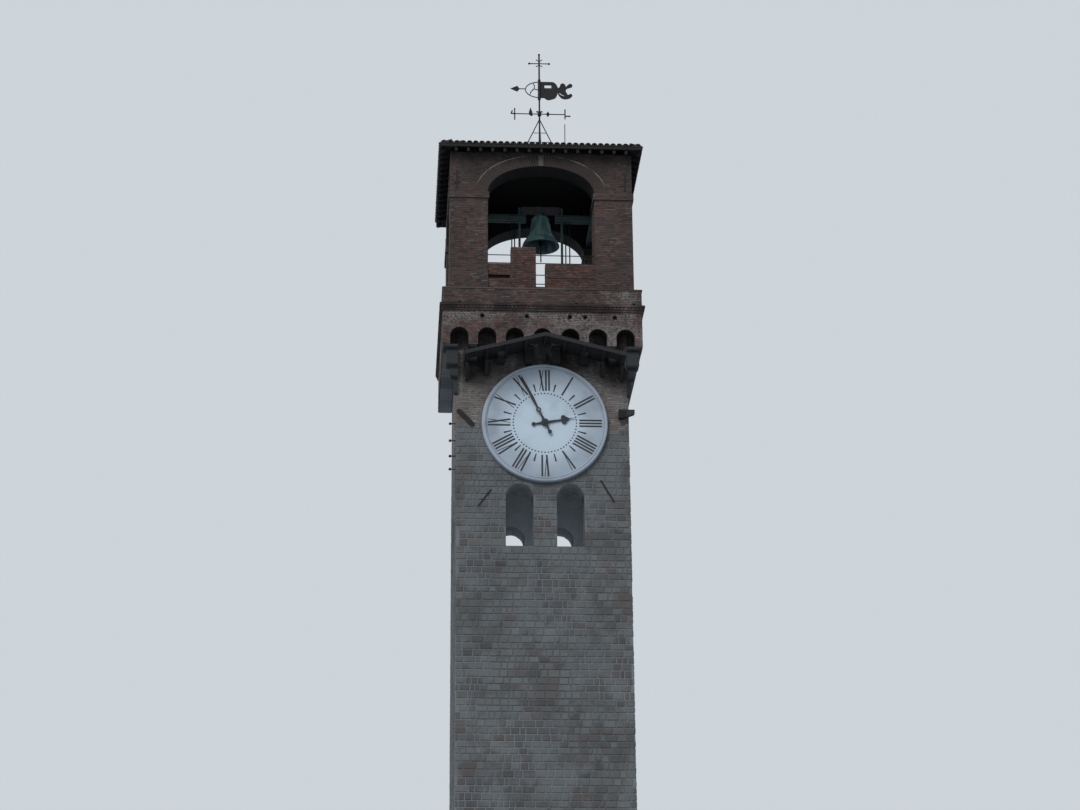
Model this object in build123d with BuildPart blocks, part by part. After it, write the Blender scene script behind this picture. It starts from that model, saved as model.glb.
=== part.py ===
"""Medieval brick and stone clock tower, a 1:2 scale model, in millimetres.

The front faces -Y, +X is to the right of someone facing the front, +Z is up. The origin is the
centre of the foot, at ground level. Every size is that of the half-size model.
"""

import os
from math import atan2, cos, degrees, radians, sin, tan

from build123d import *

os.makedirs("parts", exist_ok=True)

# Shaft
SHAFT_W = 2880
SHAFT_D = 2600
LOWER_WALL_H = 12000
LOWER_WALL_T = 600
UPPER_WALL_T = 450
GROUND_FLOOR_T = 150
ROOM_FLOOR_UP = 2550
ROOM_FLOOR_T = 150

# Doorway and its leaf
DOOR_W = 600
DOOR_JAMB_H = 750
DOOR_SETBACK = 180
DOOR_LEAF_T = 45
DOOR_FIT = 2

# Twin windows
WINDOW_W = 460
WINDOW_SPACING = 842
WINDOW_SILL_UP = 500
WINDOW_JAMB_H = 860

# Clock
DIAL_X = 35
DIAL_UP = 1290
DIAL_R = 1050
RIM_W = 84
RIM_T = 80
FACE_T = 60
RIM_CHAMFER = 16
ARBOR_R = 22
HOUR_PIPE_R = 36
PIVOT_FIT = 0.4
HAND_T = 9
HAND_GAP = 14
HAND_STEP = 12
HUB_R = 62
HAND_W = 44
HAND_POINT = 60
HAND_TAIL_R = 190
HAND_BALL_R = 34
HOUR_ANGLE = 80
HOUR_TIP_R = 530
HOUR_SPADE_R = 320
HOUR_LOBE_R = 42
HOUR_LOBE_SPREAD = 36
HOUR_LOBE_HOLE_R = 14
HOUR_SPADE_POINT = 105
MINUTE_ANGLE = -25.5
MINUTE_TIP_R = 935
MINUTE_RING_R = 245
MINUTE_RING_OUT_R = 42
MINUTE_RING_IN_R = 22
MINUTE_BELLY_R = 470
MINUTE_BELLY_W = 50

# Clock hood
HOOD_APEX_UP = 95
HOOD_FALL = 348
HOOD_INSET = 65
HOOD_REACH = 555
HOOD_T = 26
HOOD_JOIST_W = 44
HOOD_JOIST_H = 46
HOOD_JOISTS_A_SIDE = 4
HOOD_BRACKET_W = 56
HOOD_BRACKET_H = 240
HOOD_BRACKET_OUT = 230
HOOD_BRACKET_FOOT_OUT = 45
FASCIA_T = 16
FASCIA_H = 58
FASCIA_UP = 8
HOOD_FIT = 2

# Gallery and corbels
GALLERY_UP = 1325
GALLERY_H = 620
GALLERY_OUT = 240
NICHE_W = 310
NICHE_JAMB_H = 157
NICHE_COUNT_FRONT = 7
NICHE_COUNT_SIDE = 6
BLIND_NICHE_SILL = 60
BLIND_NICHE_DEPTH = 90
CORNER_PIER = 127
CORBEL_W = 126
CORNER_CORBEL_LAP = 20
CORBEL_CAP_H = 61
CORBEL_COURSE_HS = (289, 189, 288)
CORBEL_COURSE_OUTS = (183, 114, 48)
MIDDLE_CORBEL_H = 275
CORBEL_ROUND = 40
PUTLOG_R = 22
PUTLOG_DEPTH = 90
PUTLOG_UP = 527
PUTLOG_XS = (-1015, -265, 460, 720, 1220)

# Cornice, podium and belfry floor
CORNICE_H = 125
CORNICE_COURSE_OUTS = (20, 30, 50)
PODIUM_H = 305
LEDGE_OUT = 14
LEDGE_T = 24
DRAIN_R = 42
DRAIN_XS = (-1390, -430, 575, 1550)

# Belfry
BELFRY_OUT = 125
PIER = 645
PIER_H = 1855
ARCH_WALL_H = 770
ARCH_WALL_T = 400
ARCH_RISE = 520
ARCH_RING = 200
KEYSTONE_W = 86
KEYSTONE_PROUD = 12
IMPOST_H = 115
IMPOST_OUT = 24

# Parapets between the piers, with a merlon and a slot, and thin rails behind them
PARAPET_T = 160
PARAPET_SETBACK = 30
PARAPET_H = 520
MERLON_UP = 315
MERLON_LEFT = -525
MERLON_RIGHT = -97
SLOT_RIGHT = 62
SLOT_SILL = 95
COPING_H = 265
COPING_OUT = 12
CHASE_H = 66
CHASE_DROP = 210
CHASE_DEPTH = 60
CHASE_INSET = 16
RAIL_R = 8
RAIL_SETBACK = 40
RAIL_UPS = (235, 405, 625, 775)

# Bell, headstock and clapper
BELL_X = 75
HEADSTOCK_UP = 2160
HEADSTOCK_H = 115
HEADSTOCK_HALF = 340
HEADSTOCK_DEPTH = 90
BELL_DROP = 40
BELL_H = 605
BELL_MOUTH_R = 330
BELL_MOUTH_IN_R = 290
BELL_SOUND_BOW = (248, 150)
BELL_WAIST = (172, 400)
BELL_SHOULDER = (148, 532)
BELL_CROWN_R = 99
BELL_CROWN_T = 36
BELL_WAIST_T = 30
BELL_SOUND_BOW_T = 40
BELL_WIRE_R = 7
CANON_R = 15
CANON_SPREAD = 46
STRAP_W = 18
STRAP_T = 6
STRAP_SPACING = 46
GUDGEON_R = 14
POST_W = 40
POST_HEAD_W = 70
POST_HEAD_H = 90
POST_OFFSET = 375
BEAM_DROP = 160
BEAM_H = 110
BEAM_T = 14
BEAM_FLANGE = 44
BEAM_LEFT_END = -185
BEAM_RIGHT_END = 330
CROSS_BEAM_GAP = 125
CROSS_BEAM_W = 80
CLAPPER_PIVOT_DROP = 135
CLAPPER_PIN_R = 9
CLAPPER_EYE_R = 22
CLAPPER_ROD_R = 11
CLAPPER_BALL_R = 44
CLAPPER_BALL_UP = 60
CLAPPER_TAIL_DROP = 300
STAPLE_T = 14
STAPLE_W = 44
STAPLE_GAP = 1
ROD_R = 11
RODS_LEFT = (-435, -385)
RODS_RIGHT = (520, 590)

# Roof
EAVE_OUT = 180
ROOF_PITCH = 20
ROOF_T = 60
RAFTER_H = 80
RAFTER_W = 45
RAFTER_PITCH = 210
RAFTER_END_SETBACK = 20
MAST_BASE_W = 150
MAST_BASE_H = 70
MAST_BASE_TAPER = 8

# Mast, compass arms and braces, with heights below the mast's top
MAST_X = 70
MAST_R = 15
MAST_UP = 2780
MAST_KNOB_R = 20
CROSS_BAR_DROP = 205
CROSS_BAR_HALF = 180
CROSS_BAR_R = 9
CROSS_KNOB_R = 20
CURL_R = 7
CURL_HALF = 50
CURL_RISES = (77, -58)
CURL_KNOB_R = 10
COMPASS_DROP = 1240
COMPASS_HALF = 460
COMPASS_STUB = 70
COMPASS_R = 9
COMPASS_HUB_R = 34
LETTER_T = 10
COMPASS_BAR_W = 22
COMPASS_BARS = (
    ((-447, 103), (-447, -116)), ((-447, 0), (-512, 4)), ((-512, 4), (-492, 58)),
    ((462, 97), (462, -84)), ((462, -32), (552, -32)), ((-50, 46), (50, 46)),
)
COMPASS_LEAVES = (((-163, 131), (-128, 40), (-120, -30), (-148, -44), (-188, -14), (-192, 30)),
                  ((153, 58), (188, 0), (153, -58), (118, 0)))
BRACE_DROP = 1350
BRACE_FOOT = 350
BRACE_R = 9
RUNG_R = 6
RUNG_DROPS = (275, 460)
LIGHTNING_DROP = 1440
LIGHTNING_X = 525
LIGHTNING_R = 7

# Wind vane
VANE_DROP = 730
VANE_SLEEVE_H = 380
VANE_SLEEVE_R = 26
VANE_FIT = 0.5
VANE_REST_GAP = 0.3
COLLAR_R = 28
COLLAR_H = 24
VANE_T = 8
VANE_BAR_W = 16
ARROW_TIP = -525
ARROW_BACK = -352
ARROW_WIDEST = -400
ARROW_HALF_H = 60
LOOP_HALF_W = 258
LOOP_HALF_H = 166
LOOP_MIDDLE = -14
BANNER_TOP = 152
BANNER_FOOT = -181
BANNER_EDGES = (
    ((222, 152), (279, 135), (319, 84), (342, 32)),
    ((342, 32), (371, 58), (383, 97), (406, 125), (434, 129), (463, 110), (480, 58)),
    ((480, 58), (503, 80), (532, 110), (566, 125), (601, 97), (595, 58), (561, 39), (486, -45)),
    ((486, -45), (503, -77), (520, -110)),
    ((520, -110), (549, -90), (578, -84), (601, -110), (584, -148), (543, -181), (486, -197),
     (434, -194), (388, -168), (354, -123), (331, -77)),
    ((331, -77), (325, -110), (308, -155), (268, -194), (222, -210), (176, -223), (130, -213), (95, -181)),
)
BANNER_WINDOW = (95, 218, 24, 80)
BANNER_SLIT = ((366, -66), (400, -98), (452, -122), (448, -134), (392, -112), (358, -76))
SCROLLS = (((-110, 124), (-86, 62), (-94, 4), (-8, -22)), ((-94, 4), (-146, -50), (-168, -106)))

# Iron and stone fixed to the wall faces
ANCHOR_INSET = 115
ANCHOR_UP = 65
ANCHOR_H = 345
ANCHOR_W = 24
ANCHOR_T = 14
ANCHOR_CROSS_UP = 95
ANCHOR_CROSS_HALF = 48
BRACKET_INSET = 170
BRACKET_PAST = 95
BRACKET_UP = 95
BRACKET_H = 145
BRACKET_OUT = 110
BRACKET_TOE = 60
WALL_BAR_T = 16
WALL_BARS = (
    (-860, -1180, -1060, -1460, 26),
    (960, -1000, 1170, -1365, 26),
    (-1390, 205, -1175, -25, 84),
)
HOOK_INSET = 120
HOOK_REACH = 95
HOOK_R = 9
HOOK_KNOB_R = 24
HOOK_RISES = (29, -275, -550, -782)

# Heights that follow, each storey stacked on the one below
UPPER_WALL_FOOT = LOWER_WALL_H
ROOM_FLOOR_TOP = UPPER_WALL_FOOT + ROOM_FLOOR_UP
DOOR_SPRING = GROUND_FLOOR_T + DOOR_JAMB_H
WINDOW_SILL = ROOM_FLOOR_TOP + WINDOW_SILL_UP
WINDOW_SPRING = WINDOW_SILL + WINDOW_JAMB_H
DIAL_Z = WINDOW_SPRING + DIAL_UP
GALLERY_FOOT = DIAL_Z + GALLERY_UP
GALLERY_TOP = GALLERY_FOOT + GALLERY_H
NICHE_SPRING = GALLERY_FOOT + NICHE_JAMB_H
HOOD_APEX_Z = GALLERY_FOOT + HOOD_APEX_UP
CORNICE_TOP = GALLERY_TOP + CORNICE_H
PODIUM_TOP = CORNICE_TOP + PODIUM_H
PARAPET_TOP = PODIUM_TOP + PARAPET_H
SPRING_Z = PODIUM_TOP + PIER_H
WALL_TOP = SPRING_Z + ARCH_WALL_H
HEADSTOCK_FOOT = PODIUM_TOP + HEADSTOCK_UP
HEADSTOCK_TOP = HEADSTOCK_FOOT + HEADSTOCK_H
SWING_Z = (HEADSTOCK_FOOT + HEADSTOCK_TOP) / 2
BEAM_FOOT = HEADSTOCK_FOOT - BEAM_DROP
BELL_MOUTH_Z = HEADSTOCK_FOOT - BELL_DROP - BELL_H
CLAPPER_PIVOT_Z = BELL_MOUTH_Z + BELL_H - CLAPPER_PIVOT_DROP
MAST_TOP = WALL_TOP + MAST_UP
CROSS_BAR_Z = MAST_TOP - CROSS_BAR_DROP
VANE_Z = MAST_TOP - VANE_DROP
COMPASS_Z = MAST_TOP - COMPASS_DROP
BRACE_TOP = MAST_TOP - BRACE_DROP

# Widths that follow
HALF_W = SHAFT_W / 2
HALF_D = SHAFT_D / 2
FRONT_Y = -HALF_D
BELFRY_HALF_W = HALF_W + BELFRY_OUT
BELFRY_HALF_D = HALF_D + BELFRY_OUT
GALLERY_HALF_W = HALF_W + GALLERY_OUT
GALLERY_HALF_D = HALF_D + GALLERY_OUT
HOOD_HALF_W = HALF_W - DIAL_X - HOOD_INSET
ARCH_HALF_W = BELFRY_HALF_W - PIER
ARCH_HALF_D = BELFRY_HALF_D - PIER
EAVE_HALF_W = BELFRY_HALF_W + EAVE_OUT
EAVE_HALF_D = BELFRY_HALF_D + EAVE_OUT
ROOF_SLOPE = tan(radians(ROOF_PITCH))
DECK_EAVE_Z = WALL_TOP + RAFTER_H - EAVE_OUT * ROOF_SLOPE
RIDGE_Z = DECK_EAVE_Z + ROOF_T + EAVE_HALF_D * ROOF_SLOPE
CUT = 10

SIDES = ("front", "right", "back", "left")


def save(name, builder):
    """Label one finished piece and write its STEP file."""
    builder.part.label = name
    export_step(builder.part, f"parts/{name}.step")


def is_long(side):
    """The front and back walls run the full width, the left and right ones stand between them."""
    return side in ("front", "back")


def wall_plane(side, out):
    """Plane at a distance out from the tower's axis: x runs along the wall, y is up, z faces out."""
    turn = radians(90 * SIDES.index(side))
    facing = Vector(sin(turn), -cos(turn), 0)
    along = Vector(cos(turn), sin(turn), 0)
    return Plane(origin=facing * out, x_dir=along, z_dir=facing)


def block(x0, x1, y0, y1, z0, z1, mode=Mode.ADD):
    """A box given by its faces."""
    with Locations(((x0 + x1) / 2, (y0 + y1) / 2, (z0 + z1) / 2)):
        Box(abs(x1 - x0), abs(y1 - y0), abs(z1 - z0), mode=mode)


def panel(x0, x1, z0, z1, mode=Mode.ADD):
    """A rectangle on a wall plane, given by its edges."""
    with Locations(((x0 + x1) / 2, (z0 + z1) / 2)):
        Rectangle(x1 - x0, z1 - z0, mode=mode)


def round_headed(x, width, foot, spring):
    """A round-headed opening on a wall plane."""
    panel(x - width / 2, x + width / 2, foot, spring)
    with Locations((x, spring)):
        Circle(width / 2)


def rod(start, end, radius):
    """A round bar between two points."""
    path = Vector(*end) - Vector(*start)
    with BuildSketch(Plane(origin=start, z_dir=path)) as section:
        Circle(radius)
    extrude(section.sketch, amount=path.length)


# Ground floor inside the walls
with BuildPart() as ground_floor:
    inner_w = HALF_W - LOWER_WALL_T
    inner_d = HALF_D - LOWER_WALL_T
    block(-inner_w, inner_w, -inner_d, inner_d, 0, GROUND_FLOOR_T)
save("ground_floor", ground_floor)

# Floor of the room behind the twin windows
with BuildPart() as room_floor:
    inner_w = HALF_W - UPPER_WALL_T
    inner_d = HALF_D - UPPER_WALL_T
    block(-inner_w, inner_w, -inner_d, inner_d, ROOM_FLOOR_TOP - ROOM_FLOOR_T, ROOM_FLOOR_TOP)
save("room_floor", room_floor)

# Lower shaft: four plain walls, the front one with the doorway
for side in SIDES:
    half = HALF_W if is_long(side) else HALF_D - LOWER_WALL_T
    face = HALF_D if is_long(side) else HALF_W
    with BuildPart() as lower_wall:
        with BuildSketch(wall_plane(side, face)):
            panel(-half, half, 0, UPPER_WALL_FOOT)
        extrude(amount=-LOWER_WALL_T)
        if side == "front":
            with BuildSketch(wall_plane(side, face + CUT)):
                round_headed(0, DOOR_W, GROUND_FLOOR_T, DOOR_SPRING)
            extrude(amount=-LOWER_WALL_T - 2 * CUT, mode=Mode.SUBTRACT)
    save(f"{side}_wall_lower", lower_wall)

# Door leaf of upright boards, set back in the doorway
with BuildPart() as entrance_door:
    with BuildSketch(wall_plane("front", HALF_D - DOOR_SETBACK)):
        round_headed(0, DOOR_W - 2 * DOOR_FIT, GROUND_FLOOR_T, DOOR_SPRING)
    extrude(amount=-DOOR_LEAF_T)
save("entrance_door", entrance_door)

# Upper shaft: four walls, each with a pair of round-headed windows
for side in SIDES:
    half = HALF_W if is_long(side) else HALF_D - UPPER_WALL_T
    face = HALF_D if is_long(side) else HALF_W
    middle = DIAL_X if side == "front" else 0
    with BuildPart() as upper_wall:
        with BuildSketch(wall_plane(side, face)):
            panel(-half, half, UPPER_WALL_FOOT, CORNICE_TOP)
        extrude(amount=-UPPER_WALL_T)
        with BuildSketch(wall_plane(side, face + CUT)):
            for x in (middle - WINDOW_SPACING / 2, middle + WINDOW_SPACING / 2):
                round_headed(x, WINDOW_W, WINDOW_SILL, WINDOW_SPRING)
        extrude(amount=-UPPER_WALL_T - 2 * CUT, mode=Mode.SUBTRACT)
    save(f"{side}_wall_upper", upper_wall)


def niche_centres(side):
    """Middles of the niches on one gallery side, evenly spaced between the two corner piers."""
    half = GALLERY_HALF_W if is_long(side) else GALLERY_HALF_D
    count = NICHE_COUNT_FRONT if is_long(side) else NICHE_COUNT_SIDE
    first = CORNER_PIER + NICHE_W / 2 - half
    return [first - 2 * first * i / (count - 1) for i in range(count)]


def cut_niches(side):
    """Cut one side's niches: the front ones open downwards to the shaft's face, the others are blind."""
    face = GALLERY_HALF_D if is_long(side) else GALLERY_HALF_W
    foot = GALLERY_FOOT if side == "front" else GALLERY_FOOT + BLIND_NICHE_SILL
    depth = GALLERY_OUT if side == "front" else BLIND_NICHE_DEPTH
    with BuildSketch(wall_plane(side, face)) as niches:
        for x in niche_centres(side):
            round_headed(x, NICHE_W, foot, NICHE_SPRING)
    extrude(niches.sketch, amount=-depth, mode=Mode.SUBTRACT)


# Gallery: walls carried out from the shaft, each with a row of round-headed niches, and small
# putlog holes in the front
for side in SIDES:
    half = GALLERY_HALF_W if is_long(side) else HALF_D
    face = GALLERY_HALF_D if is_long(side) else GALLERY_HALF_W
    with BuildPart() as gallery_wall:
        with BuildSketch(wall_plane(side, face)):
            panel(-half, half, GALLERY_FOOT, GALLERY_TOP)
        extrude(amount=-GALLERY_OUT)
        cut_niches(side)
        if is_long(side):
            cut_niches("left")
            cut_niches("right")
        if side == "front":
            with BuildSketch(wall_plane(side, face)):
                with Locations([(x, GALLERY_FOOT + PUTLOG_UP) for x in PUTLOG_XS]):
                    Circle(PUTLOG_R)
            extrude(amount=-PUTLOG_DEPTH, mode=Mode.SUBTRACT)
    save(f"{side}_gallery_wall", gallery_wall)


def corbel_profile(height):
    """Side view of a corbel on a plane whose x faces out of the wall: a cap over round-nosed steps."""
    head = GALLERY_FOOT
    reaches = (GALLERY_OUT,) + CORBEL_COURSE_OUTS
    for course, reach in zip((CORBEL_CAP_H,) + CORBEL_COURSE_HS, reaches):
        panel(0, reach, head - course, head)
        head -= course
    panel(-CUT, GALLERY_OUT + CUT, head - CUT, GALLERY_FOOT - height, mode=Mode.SUBTRACT)
    for reach in reaches:
        column = vertices().filter_by_position(Axis.X, reach - 1, reach + 1)
        if column:
            fillet(column.sort_by(Axis.Y)[0], CORBEL_ROUND)


# One corner corbel: the side view carried round the corner of the shaft
corner_corbel_h = CORBEL_CAP_H + sum(CORBEL_COURSE_HS)
with BuildPart() as corner_corbel:
    start_x = HALF_W - CORNER_CORBEL_LAP
    with BuildLine() as corner_path:
        Polyline((start_x, FRONT_Y, GALLERY_FOOT), (HALF_W, FRONT_Y, GALLERY_FOOT),
                 (HALF_W, FRONT_Y + CORNER_CORBEL_LAP, GALLERY_FOOT))
    with BuildSketch(Plane(origin=(start_x, FRONT_Y, 0), x_dir=(0, -1, 0), z_dir=(-1, 0, 0))):
        corbel_profile(corner_corbel_h)
    sweep(path=corner_path.wire(), transition=Transition.RIGHT)

# Corbels under the pendants of the front gallery and under its two corners
with BuildPart() as corbels:
    wall = wall_plane("front", HALF_D)
    centres = niche_centres("front")
    for left, right in zip(centres, centres[1:]):
        middle = wall.from_local_coords(((left + right) / 2, 0, 0))
        with BuildSketch(Plane(origin=middle, x_dir=wall.z_dir, z_dir=-wall.x_dir)):
            corbel_profile(MIDDLE_CORBEL_H)
        extrude(amount=CORBEL_W / 2, both=True)
    add(corner_corbel.part)
    add(corner_corbel.part.mirror(Plane.YZ))
save("corbels", corbels)

# Cornice round the head of the gallery: a brick band, a tooth course and a nosing
with BuildPart() as cornice:
    course = (CORNICE_TOP - GALLERY_TOP) / len(CORNICE_COURSE_OUTS)
    for i, out in enumerate(CORNICE_COURSE_OUTS):
        half_w = GALLERY_HALF_W + out
        half_d = GALLERY_HALF_D + out
        foot = GALLERY_TOP + i * course
        block(-half_w, half_w, -half_d, half_d, foot, foot + course)
    block(-HALF_W, HALF_W, -HALF_D, HALF_D, GALLERY_TOP - CUT, CORNICE_TOP + CUT, mode=Mode.SUBTRACT)
save("cornice", cornice)

# Podium ring that the belfry stands on, with its thin stone ledge and half-round drain mouths
belfry_inner_w = BELFRY_HALF_W - ARCH_WALL_T
belfry_inner_d = BELFRY_HALF_D - ARCH_WALL_T
with BuildPart() as podium:
    block(-GALLERY_HALF_W, GALLERY_HALF_W, -GALLERY_HALF_D, GALLERY_HALF_D, CORNICE_TOP, PODIUM_TOP)
    block(-GALLERY_HALF_W - LEDGE_OUT, GALLERY_HALF_W + LEDGE_OUT,
          -GALLERY_HALF_D - LEDGE_OUT, GALLERY_HALF_D + LEDGE_OUT, PODIUM_TOP - LEDGE_T, PODIUM_TOP)
    block(-belfry_inner_w, belfry_inner_w, -belfry_inner_d, belfry_inner_d,
          CORNICE_TOP - CUT, PODIUM_TOP + CUT, mode=Mode.SUBTRACT)
    with BuildSketch(wall_plane("front", GALLERY_HALF_D)):
        with Locations([(x, CORNICE_TOP) for x in DRAIN_XS]):
            Circle(DRAIN_R)
    extrude(amount=-PUTLOG_DEPTH, mode=Mode.SUBTRACT)
save("podium", podium)

with BuildPart() as belfry_floor:
    block(-belfry_inner_w, belfry_inner_w, -belfry_inner_d, belfry_inner_d, CORNICE_TOP, PODIUM_TOP)
save("belfry_floor", belfry_floor)

# Four square corner piers and the impost bands round their heads
pier_grid = GridLocations(2 * BELFRY_HALF_W - PIER, 2 * BELFRY_HALF_D - PIER, 2, 2)
with BuildPart() as belfry_piers:
    with BuildSketch(Plane.XY.offset(PODIUM_TOP)):
        with pier_grid:
            Rectangle(PIER, PIER)
    extrude(amount=SPRING_Z - PODIUM_TOP)
save("belfry_piers", belfry_piers)

with BuildPart() as impost_bands:
    with BuildSketch(Plane.XY.offset(SPRING_Z - IMPOST_H)):
        with pier_grid:
            Rectangle(PIER + 2 * IMPOST_OUT, PIER + 2 * IMPOST_OUT)
            Rectangle(PIER, PIER, mode=Mode.SUBTRACT)
    extrude(amount=IMPOST_H)
save("impost_bands", impost_bands)


def half_ellipse(half_width, rise, mode=Mode.ADD):
    """Upper half of an ellipse that stands on the springing line."""
    with Locations((0, SPRING_Z)):
        Ellipse(half_width, rise, mode=mode)
    panel(-half_width - CUT, half_width + CUT, SPRING_Z - rise - CUT, SPRING_Z, mode=Mode.SUBTRACT)


def arch_half(side):
    """Half the clear width of one belfry arch."""
    return ARCH_HALF_W if is_long(side) else ARCH_HALF_D


# Walls over the belfry arches
for side in SIDES:
    half = BELFRY_HALF_W if is_long(side) else belfry_inner_d
    face = BELFRY_HALF_D if is_long(side) else BELFRY_HALF_W
    with BuildPart() as arch_wall:
        with BuildSketch(wall_plane(side, face)):
            panel(-half, half, SPRING_Z, WALL_TOP)
        extrude(amount=-ARCH_WALL_T)
        with BuildSketch(wall_plane(side, face + CUT)):
            half_ellipse(arch_half(side) + ARCH_RING, ARCH_RISE + ARCH_RING)
        extrude(amount=-ARCH_WALL_T - 2 * CUT, mode=Mode.SUBTRACT)
    save(f"{side}_arch_wall", arch_wall)

# Brick rings of the four arches, each in two halves that meet the keystone
with BuildPart() as arch_rings:
    for side in SIDES:
        face = BELFRY_HALF_D if is_long(side) else BELFRY_HALF_W
        with BuildSketch(wall_plane(side, face)):
            half_ellipse(arch_half(side) + ARCH_RING, ARCH_RISE + ARCH_RING)
            with Locations((0, SPRING_Z)):
                Ellipse(arch_half(side), ARCH_RISE, mode=Mode.SUBTRACT)
            panel(-KEYSTONE_W / 2, KEYSTONE_W / 2, SPRING_Z, WALL_TOP, mode=Mode.SUBTRACT)
        extrude(amount=-ARCH_WALL_T)
save("arch_rings", arch_rings)

with BuildPart() as keystones:
    for side in SIDES:
        face = BELFRY_HALF_D if is_long(side) else BELFRY_HALF_W
        with BuildSketch(wall_plane(side, face + KEYSTONE_PROUD)):
            half_ellipse(arch_half(side) + ARCH_RING, ARCH_RISE + ARCH_RING)
            with Locations((0, SPRING_Z)):
                Ellipse(arch_half(side), ARCH_RISE, mode=Mode.SUBTRACT)
            panel(-KEYSTONE_W / 2, KEYSTONE_W / 2, SPRING_Z, WALL_TOP, mode=Mode.INTERSECT)
        extrude(amount=-ARCH_WALL_T - KEYSTONE_PROUD)
save("keystones", keystones)

# Parapets between the piers: a thicker head right of the slot, and a chase in the front's left part
with BuildPart() as parapets:
    for side in SIDES:
        face = BELFRY_HALF_D if is_long(side) else BELFRY_HALF_W
        half = arch_half(side)
        with BuildSketch(wall_plane(side, face - PARAPET_SETBACK)):
            panel(-half, MERLON_LEFT, PODIUM_TOP, PARAPET_TOP)
            panel(MERLON_LEFT, MERLON_RIGHT, PODIUM_TOP, PARAPET_TOP + MERLON_UP)
            panel(MERLON_RIGHT, SLOT_RIGHT, PODIUM_TOP, PODIUM_TOP + SLOT_SILL)
            panel(SLOT_RIGHT, half, PODIUM_TOP, PARAPET_TOP)
        extrude(amount=-PARAPET_T)
        with BuildSketch(wall_plane(side, face - PARAPET_SETBACK)):
            panel(SLOT_RIGHT, half, PARAPET_TOP - COPING_H, PARAPET_TOP)
        extrude(amount=COPING_OUT)
        if side == "front":
            with BuildSketch(wall_plane(side, face - PARAPET_SETBACK)):
                panel(CHASE_INSET - half, MERLON_LEFT - CHASE_INSET,
                      PARAPET_TOP - CHASE_DROP - CHASE_H, PARAPET_TOP - CHASE_DROP)
            extrude(amount=-CHASE_DEPTH, mode=Mode.SUBTRACT)
save("parapets", parapets)

# Thin rails behind the parapets, let into the piers' sides
with BuildPart() as guard_rails:
    for side in SIDES:
        face = BELFRY_HALF_D if is_long(side) else BELFRY_HALF_W
        plane = wall_plane(side, face - PARAPET_SETBACK - PARAPET_T - RAIL_SETBACK)
        half = arch_half(side)
        for up in RAIL_UPS:
            z = PODIUM_TOP + up
            rod(plane.from_local_coords((-half, z, 0)), plane.from_local_coords((half, z, 0)), RAIL_R)
save("guard_rails", guard_rails)

# Bell: a bronze shell with three raised wires, and the staple that holds the clapper
bow_r, bow_z = BELL_SOUND_BOW
waist_r, waist_z = BELL_WAIST
shoulder_r, shoulder_z = BELL_SHOULDER
ceiling = BELL_H - BELL_CROWN_T
with BuildPart() as bell:
    with BuildSketch(Plane.XZ):
        with BuildLine():
            Spline((BELL_MOUTH_R, 0), (bow_r, bow_z), (waist_r, waist_z), (shoulder_r, shoulder_z),
                   tangents=((-0.2, 1), (-0.15, 1)))
            Polyline((shoulder_r, shoulder_z), (BELL_CROWN_R, BELL_H), (0, BELL_H), (0, ceiling),
                     (BELL_CROWN_R - BELL_WAIST_T, ceiling),
                     (shoulder_r - BELL_WAIST_T, shoulder_z - BELL_WAIST_T))
            Spline((shoulder_r - BELL_WAIST_T, shoulder_z - BELL_WAIST_T), (waist_r - BELL_WAIST_T, waist_z),
                   (bow_r - BELL_SOUND_BOW_T, bow_z), (BELL_MOUTH_IN_R, 0),
                   tangents=((0.1, -1), (0.6, -1)))
            Line((BELL_MOUTH_IN_R, 0), (BELL_MOUTH_R, 0))
        make_face()
        with Locations(BELL_SOUND_BOW, BELL_WAIST, BELL_SHOULDER):
            Circle(BELL_WIRE_R)
    revolve(axis=Axis.Z)
    staple_foot = CLAPPER_PIVOT_Z - BELL_MOUTH_Z - STAPLE_W / 2
    staple_x = CLAPPER_EYE_R / 2 + STAPLE_GAP + STAPLE_T / 2
    for x in (-staple_x, staple_x):
        block(x - STAPLE_T / 2, x + STAPLE_T / 2, -STAPLE_W / 2, STAPLE_W / 2,
              staple_foot, ceiling)
    rod((-staple_x - STAPLE_T / 2, 0, staple_foot + STAPLE_W / 2),
        (staple_x + STAPLE_T / 2, 0, staple_foot + STAPLE_W / 2), CLAPPER_PIN_R)
    for x in (-CANON_SPREAD, CANON_SPREAD):
        rod((x, 0, BELL_H), (x, 0, HEADSTOCK_FOOT - BELL_MOUTH_Z), CANON_R)
bell.part.locate(Location((BELL_X, 0, BELL_MOUTH_Z)))
save("bell", bell)

# Headstock: a timber beam on two iron gudgeons, with straps that hold the bell's canons
with BuildPart() as headstock:
    block(BELL_X - HEADSTOCK_HALF, BELL_X + HEADSTOCK_HALF, -HEADSTOCK_DEPTH / 2, HEADSTOCK_DEPTH / 2,
          HEADSTOCK_FOOT, HEADSTOCK_TOP)
    gudgeon_end = POST_OFFSET + POST_W / 2
    for end in (-1, 1):
        rod((BELL_X + end * (HEADSTOCK_HALF - CUT), 0, SWING_Z),
            (BELL_X + end * gudgeon_end, 0, SWING_Z), GUDGEON_R)
save("headstock", headstock)

with BuildPart() as headstock_straps:
    for x in (BELL_X - STRAP_SPACING, BELL_X, BELL_X + STRAP_SPACING):
        reach = HEADSTOCK_DEPTH / 2 + STRAP_T
        block(x - STRAP_W / 2, x + STRAP_W / 2, -reach, reach, HEADSTOCK_FOOT, HEADSTOCK_TOP + STRAP_T)
    block(BELL_X - HEADSTOCK_HALF, BELL_X + HEADSTOCK_HALF, -HEADSTOCK_DEPTH / 2, HEADSTOCK_DEPTH / 2,
          HEADSTOCK_FOOT - CUT, HEADSTOCK_TOP, mode=Mode.SUBTRACT)
save("headstock_straps", headstock_straps)

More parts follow.
